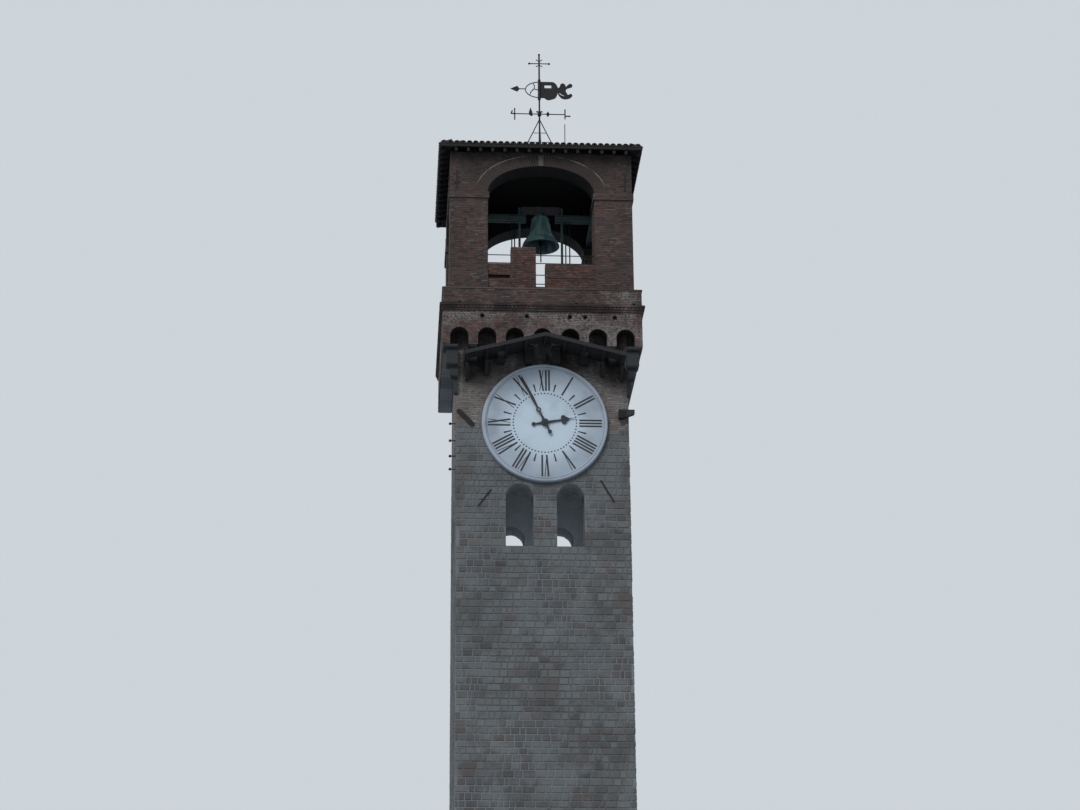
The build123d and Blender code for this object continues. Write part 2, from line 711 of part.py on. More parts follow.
# Clapper: an eye on the staple's pin, a rod, a ball and a tail
with BuildPart() as clapper:
    with BuildSketch(Plane.YZ.offset(BELL_X)):
        with Locations((0, CLAPPER_PIVOT_Z)):
            Circle(CLAPPER_EYE_R)
    extrude(amount=CLAPPER_EYE_R / 2, both=True)
    rod((BELL_X, 0, CLAPPER_PIVOT_Z - CLAPPER_ROD_R), (BELL_X, 0, BELL_MOUTH_Z - CLAPPER_TAIL_DROP),
        CLAPPER_ROD_R)
    with Locations((BELL_X, 0, BELL_MOUTH_Z + CLAPPER_BALL_UP)):
        Sphere(CLAPPER_BALL_R)
    with BuildSketch(Plane.YZ.offset(BELL_X)):
        with Locations((0, CLAPPER_PIVOT_Z)):
            Circle(CLAPPER_PIN_R + PIVOT_FIT)
    extrude(amount=CLAPPER_EYE_R, both=True, mode=Mode.SUBTRACT)
save("clapper", clapper)

# Posts that carry the headstock's gudgeons
with BuildPart() as bell_posts:
    for x in (BELL_X - POST_OFFSET, BELL_X + POST_OFFSET):
        head_foot = SWING_Z - POST_HEAD_H / 2
        block(x - POST_W / 2, x + POST_W / 2, -POST_W / 2, POST_W / 2, PODIUM_TOP, head_foot)
        block(x - POST_W / 2, x + POST_W / 2, -POST_HEAD_W / 2, POST_HEAD_W / 2,
              head_foot, head_foot + POST_HEAD_H)
    with BuildSketch(Plane.YZ.offset(BELL_X - POST_OFFSET - POST_W)):
        with Locations((0, SWING_Z)):
            Circle(GUDGEON_R + PIVOT_FIT)
    extrude(amount=2 * POST_OFFSET + 2 * POST_W, mode=Mode.SUBTRACT)
save("bell_posts", bell_posts)

# Steel beams: two channels on each side clasp a post and run out to a beam between the piers
with BuildPart() as bell_beams:
    cross_in = belfry_inner_w - CROSS_BEAM_GAP - CROSS_BEAM_W
    beam_top = BEAM_FOOT + BEAM_H
    for end, inner_end in ((-1, BEAM_LEFT_END), (1, BEAM_RIGHT_END)):
        block(end * cross_in, end * (cross_in + CROSS_BEAM_W), -belfry_inner_d, belfry_inner_d,
              BEAM_FOOT, beam_top)
        for y in (-1, 1):
            web = y * POST_W / 2
            block(inner_end, end * cross_in, web, web + y * BEAM_T, BEAM_FOOT, beam_top)
            for flange_foot in (BEAM_FOOT, beam_top - BEAM_T):
                block(inner_end, end * cross_in, web, web + y * BEAM_FLANGE,
                      flange_foot, flange_foot + BEAM_T)
save("bell_beams", bell_beams)

# Upright rods of the bell pulls, from the beams down to the floor
with BuildPart() as pull_rods:
    for x in RODS_LEFT + RODS_RIGHT:
        y = POST_W / 2 + BEAM_FLANGE / 2
        rod((x, y, PODIUM_TOP), (x, y, BEAM_FOOT), ROD_R)
save("pull_rods", pull_rods)

# Dial: a flat face and the rim round it
with BuildPart() as dial_face:
    with BuildSketch(wall_plane("front", HALF_D)):
        with Locations((DIAL_X, DIAL_Z)):
            Circle(DIAL_R - RIM_W)
            Circle(HOUR_PIPE_R + PIVOT_FIT, mode=Mode.SUBTRACT)
    extrude(amount=FACE_T)
save("dial_face", dial_face)

with BuildPart() as dial_rim:
    with BuildSketch(wall_plane("front", HALF_D)):
        with Locations((DIAL_X, DIAL_Z)):
            Circle(DIAL_R)
            Circle(DIAL_R - RIM_W, mode=Mode.SUBTRACT)
    extrude(amount=RIM_T)
    chamfer(edges().group_by(Axis.Y)[0], RIM_CHAMFER)
save("dial_rim", dial_rim)


def hand_plane(angle, out):
    """Plane on the clock's arbor whose y points along a hand, clockwise by angle from twelve."""
    turn = radians(angle)
    return Plane(origin=(DIAL_X, FRONT_Y - out, DIAL_Z), x_dir=(cos(turn), 0, -sin(turn)), z_dir=(0, -1, 0))


def hand_tail():
    """The hub of a hand and its short tail with a ball."""
    Circle(HUB_R)
    with BuildLine() as tail:
        Polyline((-HAND_W / 2, 0), (HAND_W / 2, 0), (HAND_W / 4, -HAND_TAIL_R), (-HAND_W / 4, -HAND_TAIL_R),
                 close=True)
    make_face(tail.edges())
    with Locations((0, -HAND_TAIL_R)):
        Circle(HAND_BALL_R)


def hour_outline():
    """A tapered hand with a pierced spade of two lobes near its point."""
    hand_tail()
    with BuildLine() as blade:
        Polyline((-HAND_W / 2, 0), (-HAND_W / 4, HOUR_SPADE_R), (0, HOUR_TIP_R), (HAND_W / 4, HOUR_SPADE_R),
                 (HAND_W / 2, 0), close=True)
    make_face(blade.edges())
    with BuildLine() as spade:
        Polyline((-HOUR_LOBE_SPREAD - HOUR_LOBE_R, HOUR_SPADE_R), (0, HOUR_SPADE_R + HOUR_SPADE_POINT),
                 (HOUR_LOBE_SPREAD + HOUR_LOBE_R, HOUR_SPADE_R), close=True)
    make_face(spade.edges())
    with Locations((-HOUR_LOBE_SPREAD, HOUR_SPADE_R), (HOUR_LOBE_SPREAD, HOUR_SPADE_R)):
        Circle(HOUR_LOBE_R)
        Circle(HOUR_LOBE_HOLE_R, mode=Mode.SUBTRACT)


def minute_outline():
    """A long hand with a small ring, a blade that widens beyond it, and a fine point."""
    hand_tail()
    with BuildLine() as blade:
        Polyline((-HAND_W / 2, 0), (-HAND_W / 4, MINUTE_RING_R), (-MINUTE_BELLY_W / 2, MINUTE_BELLY_R),
                 (-HAND_W / 4, MINUTE_TIP_R - HAND_POINT), (0, MINUTE_TIP_R),
                 (HAND_W / 4, MINUTE_TIP_R - HAND_POINT), (MINUTE_BELLY_W / 2, MINUTE_BELLY_R),
                 (HAND_W / 4, MINUTE_RING_R), (HAND_W / 2, 0), close=True)
    make_face(blade.edges())
    with Locations((0, MINUTE_RING_R)):
        Circle(MINUTE_RING_OUT_R)
        Circle(MINUTE_RING_IN_R, mode=Mode.SUBTRACT)


# Hour hand on a pipe that turns in the dial's middle
hour_out = FACE_T + HAND_GAP
with BuildPart() as hour_hand:
    with BuildSketch(hand_plane(HOUR_ANGLE, hour_out)):
        hour_outline()
    extrude(amount=HAND_T)
    with BuildSketch(hand_plane(HOUR_ANGLE, PIVOT_FIT)):
        Circle(HOUR_PIPE_R)
    extrude(amount=hour_out - PIVOT_FIT)
    with BuildSketch(hand_plane(HOUR_ANGLE, -CUT)):
        Circle(ARBOR_R + PIVOT_FIT)
    extrude(amount=hour_out + HAND_T + 2 * CUT, mode=Mode.SUBTRACT)
save("hour_hand", hour_hand)

# Minute hand in front of it, on the arbor that runs through the pipe
minute_out = hour_out + HAND_T + HAND_STEP
with BuildPart() as minute_hand:
    with BuildSketch(hand_plane(MINUTE_ANGLE, minute_out)):
        minute_outline()
    extrude(amount=HAND_T)
    with BuildSketch(hand_plane(MINUTE_ANGLE, PIVOT_FIT)):
        Circle(ARBOR_R)
    extrude(amount=minute_out + HAND_T + HAND_STEP - PIVOT_FIT)
save("minute_hand", minute_hand)

# Clock hood: a low gabled canopy of boards on joists, let in round the corbels
hood_fall = HOOD_FALL / HOOD_HALF_W


def hood_strip(x0, x1, up, down):
    """Part of the hood's front view between two distances from its middle, along one slope."""
    with BuildLine() as strip:
        Polyline((DIAL_X + x0, HOOD_APEX_Z - abs(x0) * hood_fall + up),
                 (DIAL_X + x1, HOOD_APEX_Z - abs(x1) * hood_fall + up),
                 (DIAL_X + x1, HOOD_APEX_Z - abs(x1) * hood_fall - down),
                 (DIAL_X + x0, HOOD_APEX_Z - abs(x0) * hood_fall - down), close=True)
    make_face(strip.edges())


def clear_of_gallery():
    """Cut the hood back round the corbels and under the gallery wall."""
    face = FRONT_Y - GALLERY_OUT - HOOD_FIT
    block(-GALLERY_HALF_W, GALLERY_HALF_W, face, FRONT_Y + CUT,
          GALLERY_FOOT - HOOD_FIT, GALLERY_TOP, mode=Mode.SUBTRACT)
    centres = niche_centres("front")
    for left, right in zip(centres, centres[1:]):
        x = (left + right) / 2
        half = CORBEL_W / 2 + HOOD_FIT
        block(x - half, x + half, face, FRONT_Y + CUT,
              GALLERY_FOOT - MIDDLE_CORBEL_H - HOOD_FIT, GALLERY_FOOT, mode=Mode.SUBTRACT)


with BuildPart() as hood_deck:
    with BuildSketch(wall_plane("front", HALF_D)):
        hood_strip(-HOOD_HALF_W, 0, 0, HOOD_T)
        hood_strip(0, HOOD_HALF_W, 0, HOOD_T)
    extrude(amount=HOOD_REACH)
    clear_of_gallery()
save("hood_deck", hood_deck)

joist_pitch = (HOOD_HALF_W - HOOD_JOIST_W) / HOOD_JOISTS_A_SIDE
with BuildPart() as hood_joists:
    with BuildSketch(wall_plane("front", HALF_D)):
        hood_strip(-HOOD_JOIST_W / 2, 0, -HOOD_T, HOOD_T + HOOD_JOIST_H)
        hood_strip(0, HOOD_JOIST_W / 2, -HOOD_T, HOOD_T + HOOD_JOIST_H)
        for i in range(1, HOOD_JOISTS_A_SIDE + 1):
            for way in (-1, 1):
                x = way * i * joist_pitch
                hood_strip(x - HOOD_JOIST_W / 2, x + HOOD_JOIST_W / 2, -HOOD_T, HOOD_T + HOOD_JOIST_H)
    extrude(amount=HOOD_REACH)
    clear_of_gallery()
save("hood_joists", hood_joists)

with BuildPart() as hood_fascia:
    with BuildSketch(wall_plane("front", HALF_D + HOOD_REACH)):
        hood_strip(-HOOD_HALF_W, 0, FASCIA_UP, FASCIA_H)
        hood_strip(0, HOOD_HALF_W, FASCIA_UP, FASCIA_H)
    extrude(amount=FASCIA_T)
save("hood_fascia", hood_fascia)

# Knee brackets on the wall under the joists, at the middle and out of the dial's way at each end
with BuildPart() as hood_brackets:
    for i in (-HOOD_JOISTS_A_SIDE, 1 - HOOD_JOISTS_A_SIDE, 0, HOOD_JOISTS_A_SIDE - 1, HOOD_JOISTS_A_SIDE):
        reach_x = abs(i) * joist_pitch + HOOD_BRACKET_W / 2
        head = HOOD_APEX_Z - reach_x * hood_fall - HOOD_T - HOOD_JOIST_H
        foot = Vector(DIAL_X + i * joist_pitch, FRONT_Y, 0)
        with BuildSketch(Plane(origin=foot, x_dir=(0, -1, 0), z_dir=(-1, 0, 0))):
            with BuildLine():
                Polyline((0, head - HOOD_BRACKET_H), (HOOD_BRACKET_FOOT_OUT, head - HOOD_BRACKET_H),
                         (HOOD_BRACKET_OUT, head - HOOD_JOIST_H), (HOOD_BRACKET_OUT, head), (0, head), close=True)
            make_face()
        extrude(amount=HOOD_BRACKET_W / 2, both=True)
save("hood_brackets", hood_brackets)


def hip_form(thickness):
    """Solid under a hip roof's plane, raised by thickness, from the eaves up."""
    with BuildPart() as form:
        for half, plane, mode in ((EAVE_HALF_D, Plane.YZ, Mode.ADD), (EAVE_HALF_W, Plane.XZ, Mode.INTERSECT)):
            with BuildSketch(plane):
                with BuildLine():
                    Polyline((-half, DECK_EAVE_Z - RAFTER_H * 2), (half, DECK_EAVE_Z - RAFTER_H * 2),
                             (half, DECK_EAVE_Z + thickness),
                             (0, DECK_EAVE_Z + thickness + half * ROOF_SLOPE),
                             (-half, DECK_EAVE_Z + thickness), close=True)
                make_face()
            extrude(amount=EAVE_HALF_W + CUT, both=True, mode=mode)
    return form.part


roof_top = hip_form(ROOF_T)
roof_underside = hip_form(0)

with BuildPart() as roof_deck:
    add(roof_top)
    add(roof_underside, mode=Mode.SUBTRACT)
save("roof_deck", roof_deck)

# Rafters that rest on the wall heads and carry the eaves, mitred at the hips
with BuildPart() as rafters:
    for side in SIDES:
        along = BELFRY_HALF_W if is_long(side) else BELFRY_HALF_D
        face = BELFRY_HALF_D if is_long(side) else BELFRY_HALF_W
        count = int((along + EAVE_OUT / 2) / RAFTER_PITCH)
        wall = wall_plane(side, face)
        tail_out = EAVE_OUT - RAFTER_END_SETBACK
        tail_z = DECK_EAVE_Z + RAFTER_END_SETBACK * ROOF_SLOPE
        for i in range(-count, count + 1):
            hip_reach = along - abs(i * RAFTER_PITCH) - RAFTER_W
            start = wall.from_local_coords((i * RAFTER_PITCH, 0, 0))
            with BuildSketch(Plane(origin=start, x_dir=wall.z_dir, z_dir=-wall.x_dir)):
                with BuildLine():
                    Polyline((tail_out, tail_z - RAFTER_H), (tail_out, tail_z),
                             (-ARCH_WALL_T, WALL_TOP + RAFTER_H + ARCH_WALL_T * ROOF_SLOPE),
                             (-ARCH_WALL_T, WALL_TOP), (0, WALL_TOP), close=True)
                make_face()
                panel(-min(ARCH_WALL_T, hip_reach), EAVE_OUT, tail_z - RAFTER_H - CUT, RIDGE_Z,
                      mode=Mode.INTERSECT)
            extrude(amount=RAFTER_W / 2, both=True)
save("rafters", rafters)

# Mast on a base that sits over the ridge
mast_foot = RIDGE_Z + MAST_BASE_H
with BuildPart() as mast:
    with BuildSketch(Plane.XY.offset(RIDGE_Z - MAST_BASE_H)):
        with Locations((MAST_X, 0)):
            Rectangle(MAST_BASE_W, MAST_BASE_W)
    extrude(amount=2 * MAST_BASE_H, taper=MAST_BASE_TAPER)
    add(roof_top, mode=Mode.SUBTRACT)
    rod((MAST_X, 0, mast_foot - CUT), (MAST_X, 0, MAST_TOP - MAST_KNOB_R), MAST_R)
    with Locations((MAST_X, 0, MAST_TOP - MAST_KNOB_R)):
        Sphere(MAST_KNOB_R)
    rod((MAST_X - CROSS_BAR_HALF, 0, CROSS_BAR_Z), (MAST_X + CROSS_BAR_HALF, 0, CROSS_BAR_Z), CROSS_BAR_R)
    with Locations((MAST_X - CROSS_BAR_HALF, 0, CROSS_BAR_Z), (MAST_X + CROSS_BAR_HALF, 0, CROSS_BAR_Z)):
        Sphere(CROSS_KNOB_R)
    for rise in CURL_RISES:
        for way in (-1, 1):
            end = (MAST_X + way * CURL_HALF, 0, CROSS_BAR_Z + rise)
            rod((MAST_X, 0, CROSS_BAR_Z + rise / 2), end, CURL_R)
            with Locations(end):
                Sphere(CURL_KNOB_R)
    collar_top = VANE_Z - VANE_SLEEVE_H / 2 - VANE_REST_GAP
    rod((MAST_X, 0, collar_top - COLLAR_H), (MAST_X, 0, collar_top), COLLAR_R)
save("mast", mast)


def flat_bar(points, width):
    """A flat bar on a sketch that follows a line of points."""
    for start, end in zip(points, points[1:]):
        run = Vector(*end) - Vector(*start)
        with Locations(Vector(*start) + run * 0.5):
            SlotCenterToCenter(run.length, width, rotation=degrees(atan2(run.Y, run.X)))


# Wind vane on a sleeve round the mast: arrow, loop and scrolls one way, curled banner the other
with BuildPart() as wind_vane:
    with BuildSketch(Plane(origin=(MAST_X, VANE_T / 2, VANE_Z), x_dir=(1, 0, 0), z_dir=(0, -1, 0))):
        with Locations((0, LOOP_MIDDLE)):
            Ellipse(LOOP_HALF_W, LOOP_HALF_H)
            Ellipse(LOOP_HALF_W - VANE_BAR_W, LOOP_HALF_H - VANE_BAR_W, mode=Mode.SUBTRACT)
        panel(0, LOOP_HALF_W, BANNER_FOOT - CUT, BANNER_TOP + CUT, mode=Mode.SUBTRACT)
        panel(ARROW_BACK - VANE_BAR_W, -LOOP_HALF_W + VANE_BAR_W / 2, -VANE_BAR_W / 2, VANE_BAR_W / 2)
        with BuildLine() as head:
            Polyline((ARROW_TIP, 0), (ARROW_WIDEST, ARROW_HALF_H), (ARROW_BACK, 0),
                     (ARROW_WIDEST, -ARROW_HALF_H), close=True)
        make_face(head.edges())
        for scroll in SCROLLS:
            flat_bar(scroll, VANE_BAR_W)
        with BuildLine() as banner:
            Polyline(BANNER_EDGES[-1][-1], (0, BANNER_FOOT), (0, BANNER_TOP), BANNER_EDGES[0][0])
            for edge in BANNER_EDGES:
                Spline(edge)
        make_face(banner.edges())
        panel(*BANNER_WINDOW, mode=Mode.SUBTRACT)
        with BuildLine() as slit:
            Polyline(BANNER_SLIT, close=True)
        make_face(slit.edges(), mode=Mode.SUBTRACT)
    extrude(amount=VANE_T)
    rod((MAST_X, 0, VANE_Z - VANE_SLEEVE_H / 2), (MAST_X, 0, VANE_Z + VANE_SLEEVE_H / 2), VANE_SLEEVE_R)
    with BuildSketch(Plane.XY.offset(VANE_Z - VANE_SLEEVE_H / 2 - CUT)):
        with Locations((MAST_X, 0)):
            Circle(MAST_R + VANE_FIT)
    extrude(amount=VANE_SLEEVE_H + 2 * CUT, mode=Mode.SUBTRACT)
save("wind_vane", wind_vane)

# Compass arms fixed to the mast, with flat letters at their ends and two leaves between
with BuildPart() as compass_arms:
    rod((MAST_X - COMPASS_HALF, 0, COMPASS_Z), (MAST_X + COMPASS_HALF, 0, COMPASS_Z), COMPASS_R)
    rod((MAST_X, -COMPASS_STUB, COMPASS_Z), (MAST_X, COMPASS_STUB, COMPASS_Z), COMPASS_R)
    rod((MAST_X, 0, COMPASS_Z - COMPASS_HUB_R), (MAST_X, 0, COMPASS_Z + COMPASS_HUB_R), COMPASS_HUB_R)
    with BuildSketch(Plane(origin=(MAST_X, LETTER_T / 2, COMPASS_Z), x_dir=(1, 0, 0), z_dir=(0, -1, 0))):
        for bar in COMPASS_BARS:
            flat_bar(bar, COMPASS_BAR_W)
        for leaf in COMPASS_LEAVES:
            with BuildLine() as outline:
                Polyline(leaf, close=True)
            make_face(outline.edges())
    extrude(amount=LETTER_T)
    with BuildSketch(Plane.XY.offset(COMPASS_Z)):
        with Locations((MAST_X, 0)):
            Circle(MAST_R)
    extrude(amount=2 * COMPASS_HUB_R, both=True, mode=Mode.SUBTRACT)
save("compass_arms", compass_arms)

# Four brace legs from the mast down to the roof, tied by two rungs each way
brace_h = BRACE_TOP - RIDGE_Z
with BuildPart() as mast_braces:
    for x, y in ((-1, 0), (1, 0), (0, -1), (0, 1)):
        spread = BRACE_FOOT * (brace_h + BRACE_FOOT) / brace_h
        rod((MAST_X, 0, BRACE_TOP), (MAST_X + x * spread, y * spread, RIDGE_Z - BRACE_FOOT), BRACE_R)
        for drop in RUNG_DROPS:
            reach = BRACE_FOOT * drop / brace_h
            rod((MAST_X, 0, BRACE_TOP - drop), (MAST_X + x * reach, y * reach, BRACE_TOP - drop), RUNG_R)
    add(roof_top, mode=Mode.SUBTRACT)
    with BuildSketch(Plane.XY.offset(RIDGE_Z)):
        with Locations((MAST_X, 0)):
            Circle(MAST_R)
    extrude(amount=brace_h + BRACE_FOOT, mode=Mode.SUBTRACT)
save("mast_braces", mast_braces)

with BuildPart() as lightning_rod:
    rod((LIGHTNING_X, 0, RIDGE_Z - BRACE_FOOT), (LIGHTNING_X, 0, MAST_TOP - LIGHTNING_DROP), LIGHTNING_R)
    add(roof_top, mode=Mode.SUBTRACT)
save("lightning_rod", lightning_rod)

# Iron tie anchors high on the four belfry faces, the front's left one with a cross piece
with BuildPart() as wall_anchors:
    anchor_foot = SPRING_Z + ANCHOR_UP
    for side in SIDES:
        along = BELFRY_HALF_W if is_long(side) else BELFRY_HALF_D
        face = BELFRY_HALF_D if is_long(side) else BELFRY_HALF_W
        with BuildSketch(wall_plane(side, face)):
            for x in (ANCHOR_INSET - along, along - ANCHOR_INSET):
                panel(x - ANCHOR_W / 2, x + ANCHOR_W / 2, anchor_foot, anchor_foot + ANCHOR_H)
            if side == "front":
                x = ANCHOR_INSET - along
                cross = anchor_foot + ANCHOR_CROSS_UP
                panel(x - ANCHOR_CROSS_HALF, x + ANCHOR_CROSS_HALF, cross, cross + ANCHOR_W)
        extrude(amount=ANCHOR_T)
save("wall_anchors", wall_anchors)

# Slanting iron bars on the front round the dial and windows
with BuildPart() as wall_bars:
    with BuildSketch(wall_plane("front", HALF_D)):
        for left, left_rise, right, right_rise, width in WALL_BARS:
            flat_bar(((left, DIAL_Z + left_rise), (right, DIAL_Z + right_rise)), width)
    extrude(amount=WALL_BAR_T)
save("wall_bars", wall_bars)

# Short iron hooks with knobs on the left wall, near the front corner
with BuildPart() as wall_hooks:
    hook_y = FRONT_Y + HOOK_INSET
    for rise in HOOK_RISES:
        rod((-HALF_W, hook_y, DIAL_Z + rise), (-HALF_W - HOOK_REACH, hook_y, DIAL_Z + rise), HOOK_R)
        with Locations((-HALF_W - HOOK_REACH, hook_y, DIAL_Z + rise)):
            Sphere(HOOK_KNOB_R)
save("wall_hooks", wall_hooks)

# One projecting stone at the front's right edge, cut back to a toe underneath
with BuildPart() as stone_bracket:
    with BuildSketch(wall_plane("front", HALF_D + BRACKET_OUT)):
        with BuildLine():
            top = DIAL_Z + BRACKET_UP + BRACKET_H
            left = HALF_W - BRACKET_INSET
            right = HALF_W + BRACKET_PAST
            Polyline((left, top), (right, top), (right, top - BRACKET_TOE),
                     (left + BRACKET_TOE, top - BRACKET_H), (left, top - BRACKET_H), close=True)
        make_face()
    extrude(amount=-BRACKET_OUT)
save("stone_bracket", stone_bracket)
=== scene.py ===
"""Visual model of a half-size medieval clock tower: masonry, tiles, dial, bell and wind vane.

The front faces -Y, +X is to the right of someone facing the dial, and +Z is up. Sizes are in
metres.
"""

import math
import random

import bmesh
import bpy
from mathutils import Matrix, Vector


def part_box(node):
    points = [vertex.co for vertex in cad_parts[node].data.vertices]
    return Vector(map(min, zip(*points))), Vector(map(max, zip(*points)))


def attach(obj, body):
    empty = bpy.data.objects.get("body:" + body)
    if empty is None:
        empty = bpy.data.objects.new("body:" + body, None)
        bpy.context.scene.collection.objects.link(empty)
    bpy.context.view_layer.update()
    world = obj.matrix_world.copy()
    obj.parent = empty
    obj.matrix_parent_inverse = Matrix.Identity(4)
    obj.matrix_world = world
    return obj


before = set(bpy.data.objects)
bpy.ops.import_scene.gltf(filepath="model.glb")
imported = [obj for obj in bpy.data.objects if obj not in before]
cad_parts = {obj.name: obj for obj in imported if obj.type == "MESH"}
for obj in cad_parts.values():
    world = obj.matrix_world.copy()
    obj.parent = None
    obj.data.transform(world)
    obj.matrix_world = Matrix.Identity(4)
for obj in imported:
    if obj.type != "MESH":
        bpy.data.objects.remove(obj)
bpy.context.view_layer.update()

# Lime mortar and rough backing: every wall of the tower is laid in a sandy lime mortar. It shows
# between the facing stones, plain brick shows in the openings, and the shaft's rooms are
# limewashed. The insides of the gallery and belfry are lined soot-black: soot and painted shade.
BRICK_COURSE = 0.0325
BRICK_LENGTH = 0.145
BRICK_JOINT = 0.0055


def paint(red, green, blue):
    """A colour given in steps of 0 to 255, as the linear values that a shader takes."""
    return tuple(((c / 255 + 0.055) / 1.055) ** 2.4 for c in (red, green, blue)) + (1.0,)


class Value:
    """What comes out of a shader node. Sums and products of such numbers add Math nodes."""

    def __init__(self, finish, socket):
        self.finish = finish
        self.socket = socket

    def math(self, operation, *terms):
        return self.finish.add("Math", {"operation": operation}, dict(enumerate(terms)))

    def __add__(self, other):
        return self.math("ADD", self, other)

    def __sub__(self, other):
        return self.math("SUBTRACT", self, other)

    def __rsub__(self, other):
        return self.math("SUBTRACT", other, self)

    def __mul__(self, other):
        return self.math("MULTIPLY", self, other)

    __radd__ = __add__
    __rmul__ = __mul__

    def unsigned(self):
        """The number without its sign."""
        return self.math("ABSOLUTE", self)

    def fraction(self):
        """What is left over past the whole number below."""
        return self.math("FRACT", self)

    def larger(self, other):
        """The larger of two numbers."""
        return self.math("MAXIMUM", self, other)

    def smaller(self, other):
        """The smaller of two numbers."""
        return self.math("MINIMUM", self, other)

    def step(self, start, end):
        """0 on the start's side and 1 on the end's side, smooth in between."""
        return self.finish.add("MapRange", {"interpolation_type": "SMOOTHSTEP"},
                               {"Value": self, "From Min": start, "From Max": end})


class Finish:
    """A procedural material: add() makes any node, and surface() feeds the shader."""

    def __init__(self, name):
        self.material = bpy.data.materials.new(name)
        self.material.use_nodes = True
        self.tree = self.material.node_tree
        self.shader = self.tree.nodes["Principled BSDF"]
        self.point = self.add("TexCoord", {}, {}, "Object")
        self.x, self.y, self.z = (self.add("SeparateXYZ", {}, {0: self.point}, i)
                                  for i in range(3))
        self.tone = self.add("Attribute", {"attribute_name": "tone"}, {}, "Fac")

    def add(self, kind, settings, sockets, out=0):
        """Any node, with its settings first and then what its sockets hold or are linked to."""
        node = self.tree.nodes.new("ShaderNode" + kind)
        for key, value in settings.items():
            if key == "stops":
                first, *between, last = value
                node.color_ramp.elements[0].color = first
                node.color_ramp.elements[1].color = last
                for i, colour in enumerate(between, 1):
                    node.color_ramp.elements.new(i / (len(between) + 1)).color = colour
            else:
                setattr(node, key, value)
        for key, value in sockets.items():
            self.feed(node.inputs[key], value)
        return Value(self, node.outputs[out])

    def feed(self, socket, value):
        if isinstance(value, Value):
            self.tree.links.new(value.socket, socket)
        else:
            socket.default_value = value

    def facing(self, axis):
        """How squarely the surface faces along one axis, from -1 to 1."""
        return self.add("SeparateXYZ", {}, {0: self.add("NewGeometry", {}, {}, "Normal")}, axis)

    def noise(self, scale, detail=2.0, stretch=(1, 1, 1)):
        """Cloudy noise from 0 to 1, with so many clouds to the metre."""
        place = self.add("Mapping", {}, {"Vector": self.point, "Scale": stretch})
        return self.add("TexNoise", {}, {"Vector": place, "Scale": scale, "Detail": detail})

    def blend(self, share, first, second):
        """One colour turning into another as share goes from 0 to 1."""
        return self.add("Mix", {"data_type": "RGBA"}, {0: share, 6: first, 7: second}, 2)

    def shade(self, colour, amount):
        """A colour made darker or lighter."""
        return self.add("VectorMath", {"operation": "SCALE"}, {0: colour, "Scale": amount})

    def bump(self, height, distance):
        """Relief of a height map that is distance metres deep."""
        return self.add("Bump", {}, {"Height": height, "Distance": distance})

    def surface(self, **sockets):
        """Feed the shader's sockets, with an underscore for the space in a name."""
        for name, value in sockets.items():
            self.feed(self.shader.inputs[name.replace("_", " ")], value)


def dress(finish, *nodes):
    """Give CAD pieces a finish."""
    for name in nodes:
        for material_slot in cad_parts[name].material_slots:
            material_slot.material = finish.material


HEAD_PAINTED_LIGHTING = 0.22


def masonry_backing(name, half, thickness, mortar, reveals, lining, soot_and_shade=None):
    """Mortar outside a rectangular plan, brick in its openings and a lining inside.

    The lining colour is also painted thinly, as a share, on the downward-facing faces inside,
    such as the heads of the openings: painted light where it is limewash and painted shade where
    it is soot.
    """
    finish = Finish(name)
    across = finish.facing(0).unsigned().step(0.6, 0.8)
    level = finish.facing(2).unsigned().step(0.6, 0.8)
    along = finish.x * (1 - across) + finish.y * across
    up = finish.z * (1 - level) + finish.y * level
    place = finish.add("CombineXYZ", {}, {0: along, 1: up})
    sizes = {"Vector": place, "Scale": 1.0, "Brick Width": BRICK_LENGTH,
             "Row Height": BRICK_COURSE, "Mortar Size": BRICK_JOINT / 2,
             "Color1": reveals[0], "Color2": reveals[1], "Mortar": reveals[2]}
    wall = finish.add("TexBrick", {}, sizes)
    joints = finish.add("TexBrick", {}, sizes, 1)
    reach = (finish.x.unsigned() - half[0]).larger(finish.y.unsigned() - half[1])
    inside = reach.step(-0.002, -0.006)
    # Downward-facing faces inside take a share of the lining: painted light with limewash, painted
    # shade with soot.
    head_painted_lighting = HEAD_PAINTED_LIGHTING * inside * finish.facing(2).step(-0.2, -0.5)
    lining_and_head_lighting = (reach + thickness).step(0.008, 0.002).larger(head_painted_lighting)
    patchy = finish.blend(finish.noise(0.9, 5.0).step(0.42, 0.58), *mortar)
    grime_and_shade = 0.6 + 0.7 * finish.noise(1.3, 4.0)
    # The darkening function adds soot and painted shade to the grime.
    if soot_and_shade:
        grime_and_shade = grime_and_shade * (1 - soot_and_shade(finish))
    laid = finish.shade(finish.blend(inside, patchy, wall), grime_and_shade)
    finish.surface(Base_Color=finish.blend(lining_and_head_lighting, laid, lining), Roughness=0.95,
                   Normal=finish.bump(finish.noise(90) * 0.4 - joints * inside, 0.003))
    return finish


LIME = (paint(90, 94, 96), paint(108, 114, 117))
DARK_LIME = (paint(58, 55, 54), paint(78, 74, 72))
RING_LIME = (paint(70, 62, 59), paint(82, 74, 70))
LIMEWASH = paint(236, 241, 244)
# Soot-black lining for the gallery's and belfry's insides: soot and painted shade.
SOOT_AND_SHADE = paint(15, 15, 16)
STONE_REVEALS = (paint(104, 109, 112), paint(112, 117, 120), LIME[0])
BRICK_REVEALS = (paint(44, 39, 38), paint(54, 47, 44), paint(38, 36, 35))
# Near-black reveals of the arch rings: painted shade.
PAINTED_SHADE_REVEALS = (paint(17, 16, 16), paint(21, 19, 19), paint(14, 14, 14))

